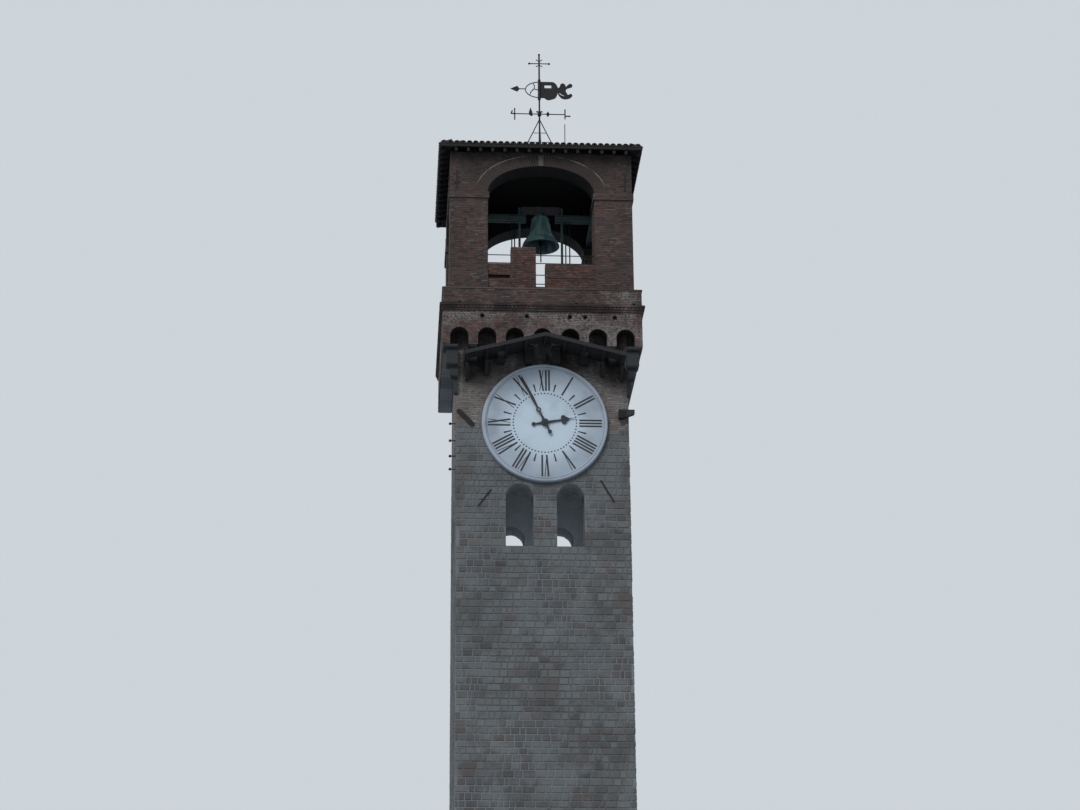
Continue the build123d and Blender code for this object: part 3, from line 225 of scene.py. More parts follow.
SHAFT_WALL = 0.45
GALLERY_WALL = 0.22
BELFRY_WALL = 0.40
shaft_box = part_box("front_wall_upper")
gallery_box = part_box("front_gallery_wall")
belfry_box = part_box("front_arch_wall")
rim_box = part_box("dial_rim")
SHAFT_HALF = (shaft_box[1].x, -shaft_box[0].y)
GALLERY_HALF = (gallery_box[1].x, -gallery_box[0].y)
BELFRY_HALF = (belfry_box[1].x, -belfry_box[0].y)
DIAL_X = (rim_box[0].x + rim_box[1].x) / 2
DIAL_Z = (rim_box[0].z + rim_box[1].z) / 2
DIAL_R = (rim_box[1].x - rim_box[0].x) / 2
HOOD_EAVES = 18.34
HOOD_SLOPE = 0.27
HOOD_REACH_X = 1.36
HOOD_DARKENING_START = 0.66
HOOD_DARKENING_FULL = 0.30
PUTLOG_X = (-1.015, -0.265, 0.460, 0.720, 1.220)
PUTLOG_Z = gallery_box[0].z + 0.527
PUTLOG_R = 0.042


def under_hood_x(finish):
    """1 as far to each side as the hood reaches over the dial, and 0 past its ends."""
    off = (finish.x - DIAL_X).unsigned()
    return off.step(HOOD_REACH_X + 0.03, HOOD_REACH_X - 0.02)


def soot_and_shade_under_hood(finish):
    """Soot and painted shade on the wall under the hood's two slopes, and painted shade
    inside the gallery's foot.
    """
    below = finish.z + HOOD_SLOPE * (finish.x - DIAL_X).unsigned()
    apex = HOOD_EAVES + HOOD_SLOPE * HOOD_REACH_X
    sheltered = under_hood_x(finish) * finish.facing(1).step(-0.3, -0.6)
    on_wall = 0.90 * sheltered * below.step(apex - HOOD_DARKENING_START, apex - HOOD_DARKENING_FULL)
    gallery_foot = gallery_box[0].z
    return on_wall.larger(0.85 * finish.z.step(gallery_foot - 0.06, gallery_foot + 0.03))


def shade_round_putlogs(finish):
    """Painted shade in the joints of the courses that hold the putlog holes."""
    return 0.9 * (finish.z - PUTLOG_Z).unsigned().step(PUTLOG_R + 0.006, PUTLOG_R)


SIDES = ("front", "right", "back", "left")
shaft_backing = masonry_backing("shaft_backing", SHAFT_HALF, SHAFT_WALL, LIME, STONE_REVEALS,
                                LIMEWASH, soot_and_shade_under_hood)
gallery_backing = masonry_backing("gallery_backing", GALLERY_HALF, GALLERY_WALL, DARK_LIME,
                                  BRICK_REVEALS, SOOT_AND_SHADE, shade_round_putlogs)
belfry_backing = masonry_backing("belfry_backing", BELFRY_HALF, BELFRY_WALL, DARK_LIME,
                                 BRICK_REVEALS, SOOT_AND_SHADE)
ring_backing = masonry_backing("ring_backing", BELFRY_HALF, BELFRY_WALL, RING_LIME,
                               PAINTED_SHADE_REVEALS, SOOT_AND_SHADE)
dress(shaft_backing, *(f"{side}_wall_{part}" for side in SIDES for part in ("lower", "upper")))
dress(shaft_backing, "ground_floor", "room_floor")
dress(gallery_backing, *(f"{side}_gallery_wall" for side in SIDES), "podium", "cornice")
dress(belfry_backing, *(f"{side}_arch_wall" for side in SIDES))
dress(belfry_backing, "belfry_piers", "parapets", "impost_bands", "belfry_floor")
dress(ring_backing, "arch_rings")

# Facing of the shaft: squared blocks of grey stone in uneven courses up to the middle of the
# dial, and old brick above that, with a ragged border between them. Each block stands a little
# out of its mortar and has worn edges.
STONE_COURSE = (0.098, 0.134)
STONE_LENGTH = (0.07, 0.22)
STONE_JOINT = 0.020
STONE_PROUD = 0.006
STONE_ARRIS = 0.009
BRICK_LENGTHS = (0.125, 0.060, 0.090, 0.060)
BRICK_PROUD = 0.0045
BRICK_ARRIS = 0.002
BLOCK_STAND = (1.2, 1.5)
EDGE_CLEAR = 0.002
BRICK_FOOT = (16.80, 17.22)
PATCH_WIDTH = (0.16, 0.52)
PATCH_LAP = 0.2
WINDOW_WIDTH = 0.46
WINDOW_SPACING = 0.842
WINDOW_SILL = 15.05
WINDOW_SPRING = 15.91
DOOR_WIDTH = 0.6
DOOR_FOOT = 0.15
DOOR_SPRING = 0.9
DIAL_HOLE = 0.95 * DIAL_R
NICHE_REACH = 0.33


def wall_place(side, out):
    """The place of one side's face, so far from the axis.

    It takes points given along the wall, up it and out of it.
    """
    turn = math.radians(90 * SIDES.index(side))
    along = Vector((math.cos(turn), math.sin(turn), 0))
    facing = Vector((math.sin(turn), -math.cos(turn), 0))
    place = Matrix((along, Vector((0, 0, 1)), facing)).transposed().to_4x4()
    place.translation = facing * out
    return place


def walls_of(half):
    """Each side of a rectangular plan, with half its length and its distance from the axis."""
    for side in SIDES:
        broad = side in ("front", "back")
        yield side, half[0 if broad else 1], half[1 if broad else 0]


def panel(left, right, foot, head):
    """Outline of an upright rectangle."""
    return [(left, foot), (right, foot), (right, head), (left, head)]


def round_head(x, width, foot, spring, steps=12):
    """Outline of a round-headed opening."""
    arc = [math.pi * i / steps for i in range(steps + 1)]
    head = [(x + width / 2 * math.cos(a), spring + width / 2 * math.sin(a)) for a in arc]
    return [(x - width / 2, foot), (x + width / 2, foot)] + head


def round_hole(x, z, radius, steps=10):
    """Outline of a round hole."""
    turns = [math.tau * i / steps for i in range(steps)]
    return [(x + radius * math.cos(turn), z + radius * math.sin(turn)) for turn in turns]


def area(outline):
    """Area inside an outline."""
    return sum(a[0] * b[1] - b[0] * a[1] for a, b in zip(outline, outline[1:] + outline[:1])) / 2


def trim(outline, opening):
    """What a convex opening leaves of an outline: the largest part outside one of its edges."""
    largest = []
    for a, b in zip(opening, opening[1:] + opening[:1]):
        outside = [(p[0] - a[0]) * (b[1] - a[1]) - (p[1] - a[1]) * (b[0] - a[0]) for p in outline]
        if min(outside) >= 0:
            return outline
        kept = []
        for i, (p, d) in enumerate(zip(outline, outside)):
            q, e = outline[i - 1], outside[i - 1]
            if d * e < 0:
                share = e / (e - d)
                kept.append((q[0] + (p[0] - q[0]) * share, q[1] + (p[1] - q[1]) * share))
            if d >= 0:
                kept.append(p)
        if kept and area(kept) > (area(largest) if largest else 0):
            largest = kept
    return largest


def courses(rng, bounds, course, length, joint, openings=()):
    """Outlines of blocks in level courses between bounds, cut round the openings."""
    left, right, foot, head = bounds
    rises = []
    while sum(rises) < head - foot:
        rises.append(rng.uniform(*course))
    fit = (head - foot) / sum(rises)
    smallest = joint * joint * 6
    for rise in rises:
        start = left - rng.uniform(0.2, 0.9) * length[-1]
        while start < right:
            end = start + (rng.choice(length) if len(length) > 2 else rng.uniform(*length))
            near = max(start, left) + joint / 2
            far = min(end, right) - joint / 2
            outline = panel(near, far, foot + joint / 2, foot + rise * fit - joint / 2)
            for opening in openings:
                outline = outline and trim(outline, opening)
            if far - near > 2 * joint and outline and area(outline) > smallest:
                yield outline
            start = end
        foot += rise * fit


def piece(name, mesh, finish, body="tower"):
    """Finish a mesh as a named piece of the tower."""
    data = bpy.data.meshes.new(name)
    mesh.to_mesh(data)
    mesh.free()
    data.materials.append(finish.material)
    made = bpy.data.objects.new(name, data)
    bpy.context.scene.collection.objects.link(made)
    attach(made, body)


def raise_blocks(rng, beds, proud, arris):
    """Stand every outline out of its bed as a block with worn edges and a tone of its own."""
    mesh = bmesh.new()
    tone = mesh.faces.layers.float.new("tone")
    for place, outlines in beds:
        for outline in outlines:
            corners = [mesh.verts.new(place @ Vector((u, v, -proud / 2))) for u, v in outline]
            mesh.faces.new(corners)[tone] = rng.random()
    mesh.normal_update()
    fronts = bmesh.ops.extrude_discrete_faces(mesh, faces=mesh.faces[:])["faces"]
    for face in fronts:
        stand = face.normal * proud * rng.uniform(*BLOCK_STAND)
        for vertex in face.verts:
            vertex.co += stand
    bmesh.ops.inset_individual(mesh, faces=fronts, thickness=arris, depth=arris * 0.4)
    return mesh


def brickwork(name, rng, beds, finish):
    """Lay beds of bricks as one named piece."""
    piece(name, raise_blocks(rng, beds, BRICK_PROUD, BRICK_ARRIS), finish)


BRICK_SIZES = {"course": (BRICK_COURSE,) * 2, "length": BRICK_LENGTHS, "joint": BRICK_JOINT}
STONE_SIZES = {"course": STONE_COURSE, "length": STONE_LENGTH, "joint": STONE_JOINT}

STONE_TONES = (paint(68, 68, 69), paint(83, 84, 85), paint(75, 75, 76), paint(91, 93, 94),
               paint(80, 74, 71), paint(86, 85, 84), paint(97, 100, 101))
shaft_stone = Finish("shaft_stone")
stone_colour = shaft_stone.add("ValToRGB", {"stops": STONE_TONES}, {0: shaft_stone.tone})
stone_weather = (0.42 + 0.50 * shaft_stone.noise(0.8, 5.0)
                 + 0.34 * shaft_stone.noise(4.0, 4.0, (1, 1, 0.16))
                 + 0.30 * shaft_stone.noise(34, 4.0))
smeared = shaft_stone.noise(2.6, 6.0).step(0.42, 0.58)
smeared_stone = shaft_stone.blend(smeared * 0.7, stone_colour, paint(100, 104, 106))
stone_relief = shaft_stone.noise(26, 6.0) + 0.5 * shaft_stone.noise(110)
shaft_stone.surface(Base_Color=shaft_stone.shade(smeared_stone, stone_weather), Roughness=0.93,
                    Normal=shaft_stone.bump(stone_relief, 0.007))

BRICK_TONES = (paint(54, 47, 46), paint(86, 68, 63), paint(70, 61, 59), paint(100, 75, 67),
               paint(80, 75, 74), paint(110, 80, 69), paint(66, 56, 53), paint(108, 99, 94))
GREY_BRICKS = (paint(74, 70, 69), paint(100, 88, 82), paint(104, 100, 99), paint(86, 80, 78),
               paint(116, 100, 91), paint(94, 86, 82), paint(128, 125, 122))
RED_BRICKS = (paint(58, 46, 44), paint(94, 67, 59), paint(76, 60, 56), paint(110, 74, 62),
              paint(84, 71, 67), paint(120, 80, 65), paint(66, 52, 48), paint(112, 100, 94))
RING_BRICKS = (paint(74, 61, 57), paint(86, 70, 64))
LIME_BLOOM = paint(134, 133, 130)


def brick_finish(name, tones, light, lime_share, soot_and_shade):
    """Old brick: mixed burnings and lime bloom over a share of it. Its brightness is scaled as
    painted light and shade for how lit that part of the tower is, and it is darkened, soot and
    painted shade, where the darkening function gives 1.
    """
    finish = Finish(name)
    colour = finish.add("ValToRGB", {"stops": tones}, {0: finish.tone})
    painted_light_mottle = light * (0.40 + 0.6 * finish.noise(1.7, 5.0) + 0.6 * finish.noise(44, 4.0))
    patches = finish.noise(1.5, 7.0).step(0.72 - lime_share, 0.90 - lime_share)
    bloom = patches * finish.noise(30, 4.0).step(0.3, 0.7)
    limed = finish.blend(bloom * 0.8, finish.shade(colour, painted_light_mottle), LIME_BLOOM)
    soot_and_shade_share = soot_and_shade(finish) * finish.noise(3.0, 4.0, (1, 1, 0.25)).step(0.2, 0.6)
    finish.surface(Base_Color=finish.shade(limed, 1 - soot_and_shade_share), Roughness=0.92,
                   Normal=finish.bump(finish.noise(120, 4.0), 0.003))
    return finish


def soot_and_shade_below(head, depth, share):
    """Soot and painted shade that hang so deep below a level ledge."""
    return lambda finish: share * finish.z.step(head - depth, head)


shaft_brick = brick_finish("shaft_brick", GREY_BRICKS, 1.05, 0.26, soot_and_shade_under_hood)
for side, half, out in walls_of(SHAFT_HALF):
    rng = random.Random(f"shaft {side}")
    middle = DIAL_X if side == "front" else 0.0
    openings = [round_head(middle + way * WINDOW_SPACING / 2, WINDOW_WIDTH, WINDOW_SILL,
                           WINDOW_SPRING) for way in (-1, 1)]
    if side == "front":
        openings.append(round_hole(DIAL_X, DIAL_Z, DIAL_HOLE, 40))
        openings.append(round_head(0, DOOR_WIDTH, DOOR_FOOT, DOOR_SPRING))
    place = wall_place(side, out)
    stone_patches, brick_patches = [], []
    left = -half
    while left < half:
        right = min(left + rng.uniform(*PATCH_WIDTH), half)
        level = rng.uniform(*BRICK_FOOT)
        stone_patches.append(panel(left, right, BRICK_FOOT[0] - PATCH_LAP, level))
        brick_patches.append(panel(left, right, level, BRICK_FOOT[1] + PATCH_LAP))
        left = right
    head = gallery_box[0].z + (NICHE_REACH if side == "front" else 0)
    stones = courses(rng, (-half, half, 0.0, BRICK_FOOT[1]),
                     openings=openings + brick_patches, **STONE_SIZES)
    bricks = courses(rng, (-half, half, BRICK_FOOT[0], head),
                     openings=openings + stone_patches, **BRICK_SIZES)
    piece(f"{side}_shaft_stones", raise_blocks(rng, [(place, stones)], STONE_PROUD, STONE_ARRIS),
          shaft_stone)
    brickwork(f"{side}_shaft_bricks", rng, [(place, bricks)], shaft_brick)

# Doorway: a shut oak door at the foot of the front wall, made of upright boards that are nailed
# to the leaf and cut to the round head of the opening.
DOOR_BOARD = 0.099
DOOR_BOARD_GAP = 0.006
DOOR_BOARD_PROUD = 0.006
DOOR_BOARD_ARRIS = 0.002
DOOR_BOARD_FOOT = DOOR_FOOT + 0.01
door_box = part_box("entrance_door")
door_half = (door_box[1].x - door_box[0].x) / 2


def door_head(x):
    """Height of the door's round head over a point across it."""
    return DOOR_SPRING + math.sqrt(max(0.0, door_half ** 2 - x ** 2)) - EDGE_CLEAR


def old_oak(name, dark, light):
    """Weathered oak between two colours, with its grain along Z."""
    finish = Finish(name)
    grain = finish.noise(14, 4.0, (1, 1, 0.15))
    weather = 0.6 + 0.3 * finish.tone + 0.5 * finish.noise(2.5, 3.0)
    finish.surface(Base_Color=finish.shade(finish.blend(grain, dark, light), weather),
                   Roughness=0.85, Normal=finish.bump(grain, 0.004))
    return finish


dark_oak = old_oak("dark_oak", paint(42, 40, 38), paint(66, 62, 57))
boards = []
for i in range(round(2 * door_half / DOOR_BOARD)):
    left = -door_half + i * DOOR_BOARD + DOOR_BOARD_GAP / 2
    right = left + DOOR_BOARD - DOOR_BOARD_GAP
    middle = (left + right) / 2
    boards.append([(left, DOOR_BOARD_FOOT), (right, DOOR_BOARD_FOOT),
                   (right, door_head(right)), (middle, door_head(middle)), (left, door_head(left))])
door_bed = (wall_place("front", -door_box[0].y), boards)
piece("door_boards",
      raise_blocks(random.Random("door"), [door_bed], DOOR_BOARD_PROUD, DOOR_BOARD_ARRIS),
      dark_oak)
dress(dark_oak, "entrance_door")

# Gallery: brick walls carried out over a row of small arches, open underneath along the front and
# blind along the sides. Bricks on edge turn round each arch. Putlog holes are left in the front.
NICHE_WIDTH = 0.31
NICHE_SPRING = 18.682
NICHE_RING = 0.058
NICHE_BRICK = 0.03
BLIND_SILL = 0.06
CORNER_PIER = 0.127
NICHE_COUNTS = {"front": 7, "back": 7, "left": 6, "right": 6}


def niche_middles(side, half):
    """How far along one side the middle of each niche lies."""
    first = CORNER_PIER + NICHE_WIDTH / 2 - half
    count = NICHE_COUNTS[side]
    return [first - 2 * first * i / (count - 1) for i in range(count)]


def arch_bricks(x, spring, half_width, rise, depth, width, joint):
    """Outlines of the bricks on edge round a half-elliptical arch head."""
    middle_line = math.hypot(half_width + depth / 2, rise + depth / 2) / math.sqrt(2)
    count = round(math.pi * middle_line / width)

    def at(share, out):
        turn = math.pi * share
        return (x + (half_width + out) * math.cos(turn), spring + (rise + out) * math.sin(turn))

    gap = joint / 2 / width / count
    for i in range(count):
        near = i / count + gap
        far = (i + 1) / count - gap
        yield [at(near, EDGE_CLEAR), at(near, depth), at(far, depth), at(far, EDGE_CLEAR)]


gallery_brick = brick_finish("gallery_brick", BRICK_TONES, 0.88, 0.27,
                             soot_and_shade_below(gallery_box[1].z, 0.07, 0.55))
for side, half, out in walls_of(GALLERY_HALF):
    rng = random.Random(f"gallery {side}")
    middles = niche_middles(side, half)
    sill = 0.0 if side == "front" else gallery_box[0].z + BLIND_SILL
    holes = [round_hole(x, PUTLOG_Z, PUTLOG_R) for x in PUTLOG_X] if side == "front" else []
    rings = [round_head(x, NICHE_WIDTH + 2 * NICHE_RING, 0, NICHE_SPRING) for x in middles]
    niches = [round_head(x, NICHE_WIDTH, sill, NICHE_SPRING) for x in middles]
    field = list(courses(rng, (-half, half, NICHE_SPRING, gallery_box[1].z),
                         openings=rings + holes, **BRICK_SIZES))
    field += courses(rng, (-half, half, gallery_box[0].z, NICHE_SPRING),
                     openings=niches, **BRICK_SIZES)
    for x in middles:
        field += arch_bricks(x, NICHE_SPRING, NICHE_WIDTH / 2, NICHE_WIDTH / 2, NICHE_RING,
                             NICHE_BRICK, BRICK_JOINT)
    brickwork(f"{side}_gallery_bricks", rng, [(wall_place(side, out), field)], gallery_brick)

# Corbels and soffit: moulded stone, dark with damp and painted shade, under the front's pendants
# and two corners, and stone slabs laid on the underside of the other three sides.
SLAB_LENGTH = (0.48, 0.66)
SLAB_JOINT = 0.010
SLAB_INSET = 0.006
SLAB_PROUD = 0.010
SLAB_ARRIS = 0.003
SLAB_TO_CORBEL = 0.01
corbel_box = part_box("corbels")

damp_shaded_stone = Finish("damp_shaded_stone")
damp = 0.5 + 0.5 * damp_shaded_stone.noise(3.0, 4.0) + 0.35 * damp_shaded_stone.noise(40, 3.0)
damp_shaded_colour = damp_shaded_stone.blend(damp_shaded_stone.noise(1.1), paint(36, 40, 43), paint(52, 54, 55))
# Under the hood the corbels are painted darker still: painted shade.
damp_shaded_stone.surface(
    Base_Color=damp_shaded_stone.shade(damp_shaded_colour, damp * (1 - 0.75 * under_hood_x(damp_shaded_stone))),
    Roughness=0.9, Normal=damp_shaded_stone.bump(damp_shaded_stone.noise(45, 6.0), 0.006))
dress(damp_shaded_stone, "corbels", "stone_bracket")

slab_stone = Finish("slab_stone")
slab_colour = slab_stone.blend(slab_stone.tone, paint(96, 104, 109), paint(120, 127, 131))
slab_stone.surface(
    Base_Color=slab_stone.shade(slab_colour, 0.55 + 0.8 * slab_stone.noise(3.0, 5.0)),
    Roughness=0.9, Normal=slab_stone.bump(slab_stone.noise(30, 5.0), 0.004))
for side, half, out in walls_of(GALLERY_HALF):
    if side == "front":
        continue
    rng = random.Random(f"soffit {side}")
    depth = out - SHAFT_HALF[1 if side == "back" else 0]
    corner = -corbel_box[1].y + SLAB_TO_CORBEL
    ends = {"back": (depth - half, half - depth), "left": (-half, corner),
            "right": (-corner, half)}[side]
    slabs = courses(rng, (*ends, SLAB_INSET, depth - SLAB_INSET), (depth,) * 2, SLAB_LENGTH,
                    SLAB_JOINT)
    under = (wall_place(side, out - depth) @ Matrix.Translation((0, gallery_box[0].z, 0))
             @ Matrix.Rotation(math.pi / 2, 4, "X"))
    piece(f"{side}_soffit_slabs", raise_blocks(rng, [(under, slabs)], SLAB_PROUD, SLAB_ARRIS),
          slab_stone)

# Cornice and podium: three courses of brick that step outwards, with a row of teeth on the middle
# one, and a plain brick storey with drain mouths and a thin stone ledge that carries the belfry.
TOOTH_PITCH = 0.064
TOOTH_WIDTH = 0.034
TOOTH_PROUD = 0.018 / (sum(BLOCK_STAND) / 2)
COURSE_OUTS = (0.020, 0.030, 0.050)
CORNICE_LENGTHS = (0.145, 0.145, 0.07)
LEDGE = 0.024
DRAIN_X = (-1.390, -0.430, 0.575, 1.550)
DRAIN_R = 0.052
cornice_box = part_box("cornice")
podium_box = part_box("podium")
cornice_course = (cornice_box[1].z - cornice_box[0].z) / len(COURSE_OUTS)


def soot_and_shade_over_cornice(finish):
    """Soot and painted shade all over, and more of it on the cornice than on the storey above."""
    return 0.25 + 0.5 * finish.z.step(cornice_box[1].z + 0.06, cornice_box[1].z)


podium_brick = brick_finish("podium_brick", BRICK_TONES, 0.84, 0.16, soot_and_shade_over_cornice)
for side, half, out in walls_of(GALLERY_HALF):
    rng = random.Random(f"podium {side}")
    beds = []
    for i, course_out in enumerate(COURSE_OUTS):
        foot = cornice_box[0].z + i * cornice_course
        band = (-half - course_out, half + course_out, foot, foot + cornice_course)
        beds.append((wall_place(side, out + course_out),
                     list(courses(rng, band, (cornice_course,) * 2, CORNICE_LENGTHS, BRICK_JOINT))))
    storey = (-half, half, cornice_box[1].z, podium_box[1].z - LEDGE)
    drains = [round_hole(x, cornice_box[1].z, DRAIN_R) for x in DRAIN_X] if side == "front" else []
    beds.append((wall_place(side, out), list(courses(rng, storey, openings=drains, **BRICK_SIZES))))
    brickwork(f"{side}_podium_bricks", rng, beds, podium_brick)

    foot = cornice_box[0].z + cornice_course
    count = int((half + COURSE_OUTS[1]) * 2 / TOOTH_PITCH)
    teeth = []
    for i in range(count):
        x = (i - (count - 1) / 2) * TOOTH_PITCH
        teeth.append(panel(x - TOOTH_WIDTH / 2, x + TOOTH_WIDTH / 2, foot + EDGE_CLEAR,
                           foot + cornice_course - EDGE_CLEAR))
    tooth_bed = (wall_place(side, out + COURSE_OUTS[1]), teeth)
    piece(f"{side}_cornice_teeth",
          raise_blocks(rng, [tooth_bed], TOOTH_PROUD, BRICK_ARRIS), podium_brick)

# Belfry: four brick piers with projecting impost bands, and wide basket arches ringed with bricks
# on edge. A thin pale course outlines each ring, and low brick parapets close the openings.
PIER = 0.645
ARCH_RISE = 0.52
ARCH_RING = 0.20
RING_BRICK = 0.036
RING_JOINT = 0.011
OUTLINE_COURSE = 0.015
OUTLINE_BRICK = 0.14
KEYSTONE = 0.086
KEYSTONE_CLEAR = 0.012
PARAPET_SETBACK = 0.03
PARAPET_TOP = 20.095
COPING_FOOT = 19.83
COPING_OUT = 0.012
MERLON = (-0.525, -0.097)
SLOT = (-0.097, 0.062)
SLOT_FOOT = 19.67
CHASE = (-0.904, -0.541, 19.819, 19.885)
SPRING = belfry_box[0].z
pier_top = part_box("belfry_piers")[1].z
band_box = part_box("impost_bands")
parapet_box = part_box("parapets")
band_out = band_box[1].x - BELFRY_HALF[0]

# Soot and painted shade under the belfry's eaves. The belfry's bricks take the same tones as the
# gallery's and the podium's, painted darker as painted shade.
eaves_soot_and_shade = soot_and_shade_below(belfry_box[1].z + 0.1, 1.1, 0.7)
belfry_brick = brick_finish("belfry_brick", BRICK_TONES, 0.64, 0.07, eaves_soot_and_shade)
ring_brick = brick_finish("ring_brick", RING_BRICKS, 0.60, 0.0, eaves_soot_and_shade)
parapet_brick = brick_finish("parapet_brick", RED_BRICKS, 0.86, 0.12,
                             soot_and_shade_below(podium_box[1].z + 0.1, 0.3, 0.3))

pale_course = Finish("pale_course")
away = pale_course.x.unsigned().smaller(pale_course.y.unsigned())
still_pale = (away.step(0.15, 0.5) * pale_course.z.step(SPRING + 0.10, SPRING + 0.28)
              * pale_course.noise(4.0, 4.0).step(0.32, 0.5))
pale_course.surface(Base_Color=pale_course.blend(still_pale, paint(52, 46, 44),
                                                 paint(120, 114, 108)), Roughness=0.9)

key_stone = Finish("key_stone")
# Faces that look downwards are painted near black: painted shade.
painted_shade_below = key_stone.facing(2).step(-0.2, -0.5)
key_stone.surface(Base_Color=key_stone.blend(painted_shade_below, paint(80, 76, 76), paint(20, 19, 19)),
                  Roughness=0.9, Normal=key_stone.bump(key_stone.noise(40, 4.0), 0.003))
dress(key_stone, "keystones")

for side, half, out in walls_of(BELFRY_HALF):
    rng = random.Random(f"belfry {side}")
    face = wall_place(side, out)
    arch_half = half - PIER
    edge_half = arch_half + ARCH_RING + OUTLINE_COURSE
    edge_rise = ARCH_RISE + ARCH_RING + OUTLINE_COURSE
    ring_edge = [(x * edge_half, SPRING + (z - SPRING) * edge_rise)
                 for x, z in round_head(0, 2, SPRING, SPRING, 24)[2:]]
    field = list(courses(rng, (-half, half, SPRING, belfry_box[1].z), openings=[ring_edge],
                         **BRICK_SIZES))
    for way in (-1, 1):
        inner, outer = sorted((way * arch_half, way * half))
        field += courses(rng, (inner, outer, podium_box[1].z, band_box[0].z), **BRICK_SIZES)
    beds = [(face, field)]
    jambs = list(courses(rng, (-PIER / 2, PIER / 2, podium_box[1].z, pier_top), **BRICK_SIZES))
    for way in (-1, 1):
        jamb = wall_place(side, out - PIER / 2) @ Matrix.Translation((way * arch_half, 0, 0))
        beds.append((jamb @ Matrix.Rotation(-way * math.pi / 2, 4, "Y"), jambs))
    for way in (-1, 1):
        inner, outer = sorted((way * (arch_half - band_out), way * (half + band_out)))
        band = (inner, outer, band_box[0].z, band_box[1].z)
        beds.append((wall_place(side, out + band_out), list(courses(rng, band, **BRICK_SIZES))))
    brickwork(f"{side}_belfry_bricks", rng, beds, belfry_brick)

    ring = [brick for brick in arch_bricks(0, SPRING, arch_half, ARCH_RISE, ARCH_RING,
                                           RING_BRICK, RING_JOINT)
            if abs(sum(u for u, v in brick) / 4) > KEYSTONE / 2 + KEYSTONE_CLEAR]
    brickwork(f"{side}_ring_bricks", rng, [(face, ring)], ring_brick)
    outline = arch_bricks(0, SPRING, arch_half + ARCH_RING, ARCH_RISE + ARCH_RING,
                          OUTLINE_COURSE, OUTLINE_BRICK, BRICK_JOINT)
    brickwork(f"{side}_arch_outline", rng, [(face, outline)], pale_course)

    chase = [panel(*CHASE)] if side == "front" else []
    parapet = []
    for left, right, head in ((-arch_half, MERLON[0], PARAPET_TOP), (*MERLON, parapet_box[1].z),
                              (*SLOT, SLOT_FOOT), (SLOT[1], arch_half, COPING_FOOT)):
        parapet += courses(rng, (left, right, podium_box[1].z, head), openings=chase,
                           **BRICK_SIZES)
    coping = list(courses(rng, (SLOT[1], arch_half, COPING_FOOT, PARAPET_TOP), **BRICK_SIZES))
    beds = [(wall_place(side, out - PARAPET_SETBACK), parapet),
            (wall_place(side, out - PARAPET_SETBACK + COPING_OUT), coping)]
    brickwork(f"{side}_parapet_bricks", rng, beds, parapet_brick)

# Roof: barrel tiles of old clay, laid as troughs and covers on a boarded deck, with larger tiles
# over the hips. Under the eaves, behind a thin fillet, the rafters and the deck are oak painted
# near black: soot and painted shade.
TILE_PITCH = 0.108
TILE_LENGTH = 0.235
TILE_SHOWN = 0.178
TILE_WALL = 0.008
TILE_ROUND = 6
TILE_FLATNESS = 0.72
TILE_SKEW = 0.03
TILE_TILT = 0.02
COVER_RADII = (0.049, 0.040)
COVER_LIFT = 0.014
TROUGH_RADII = (0.042, 0.048)
TROUGH_DROP = 0.024
HIP_RADII = (0.064, 0.056)
HIP_LENGTH = 0.24
HIP_SHOWN = 0.2
HIP_START = 0.07
HIP_LIFTS = (0.012, 0.022)
RIDGE_TILE_HALF = 0.1
EAVE_LAP = 0.012
EAVE_SHORTEST = 0.09
FILLET_HEIGHT = 0.020
FILLET_SETBACK = 0.012
FILLET_PROUD = 0.012
FILLET_INSET = 0.006
FILLET_ARRIS = 0.002
ROOF_PITCH = math.radians(20)
roof_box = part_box("roof_deck")
EAVE_HALF = (roof_box[1].x, roof_box[1].y)
eave_top = roof_box[1].z - EAVE_HALF[1] * math.tan(ROOF_PITCH)


def half_tube(foot_radius, head_radius, length):
    """A tapered barrel tile that lies along +Y with its crown up."""
    mesh = bmesh.new()
    ends = [mesh.verts.new((foot_radius, 0, 0)), mesh.verts.new((head_radius, length, 0))]
    mesh.edges.new(ends)
    bmesh.ops.spin(mesh, geom=mesh.verts[:] + mesh.edges[:], axis=(0, 1, 0), cent=(0, 0, 0),
                   angle=-math.pi, steps=TILE_ROUND)
    bmesh.ops.recalc_face_normals(mesh, faces=mesh.faces)
    bmesh.ops.scale(mesh, vec=(1, 1, TILE_FLATNESS), verts=mesh.verts)
    bmesh.ops.solidify(mesh, geom=mesh.faces[:], thickness=TILE_WALL)
    bmesh.ops.recalc_face_normals(mesh, faces=mesh.faces)
    return mesh


def array(pattern, places, rng):
    """One mesh of copies of a pattern, each at its own place and with its own tone."""
    joined = bmesh.new()
    joined.faces.layers.float.new("tone")
    single = bpy.data.meshes.new("pattern")
    pattern.to_mesh(single)
    pattern.free()
    shade = single.attributes.new("tone", "FLOAT", "FACE")
    for place in places:
        shade.data.foreach_set("value", [rng.random()] * len(single.polygons))
        single.transform(place)
        joined.from_mesh(single)
        single.transform(place.inverted())
    bpy.data.meshes.remove(single)
    return joined


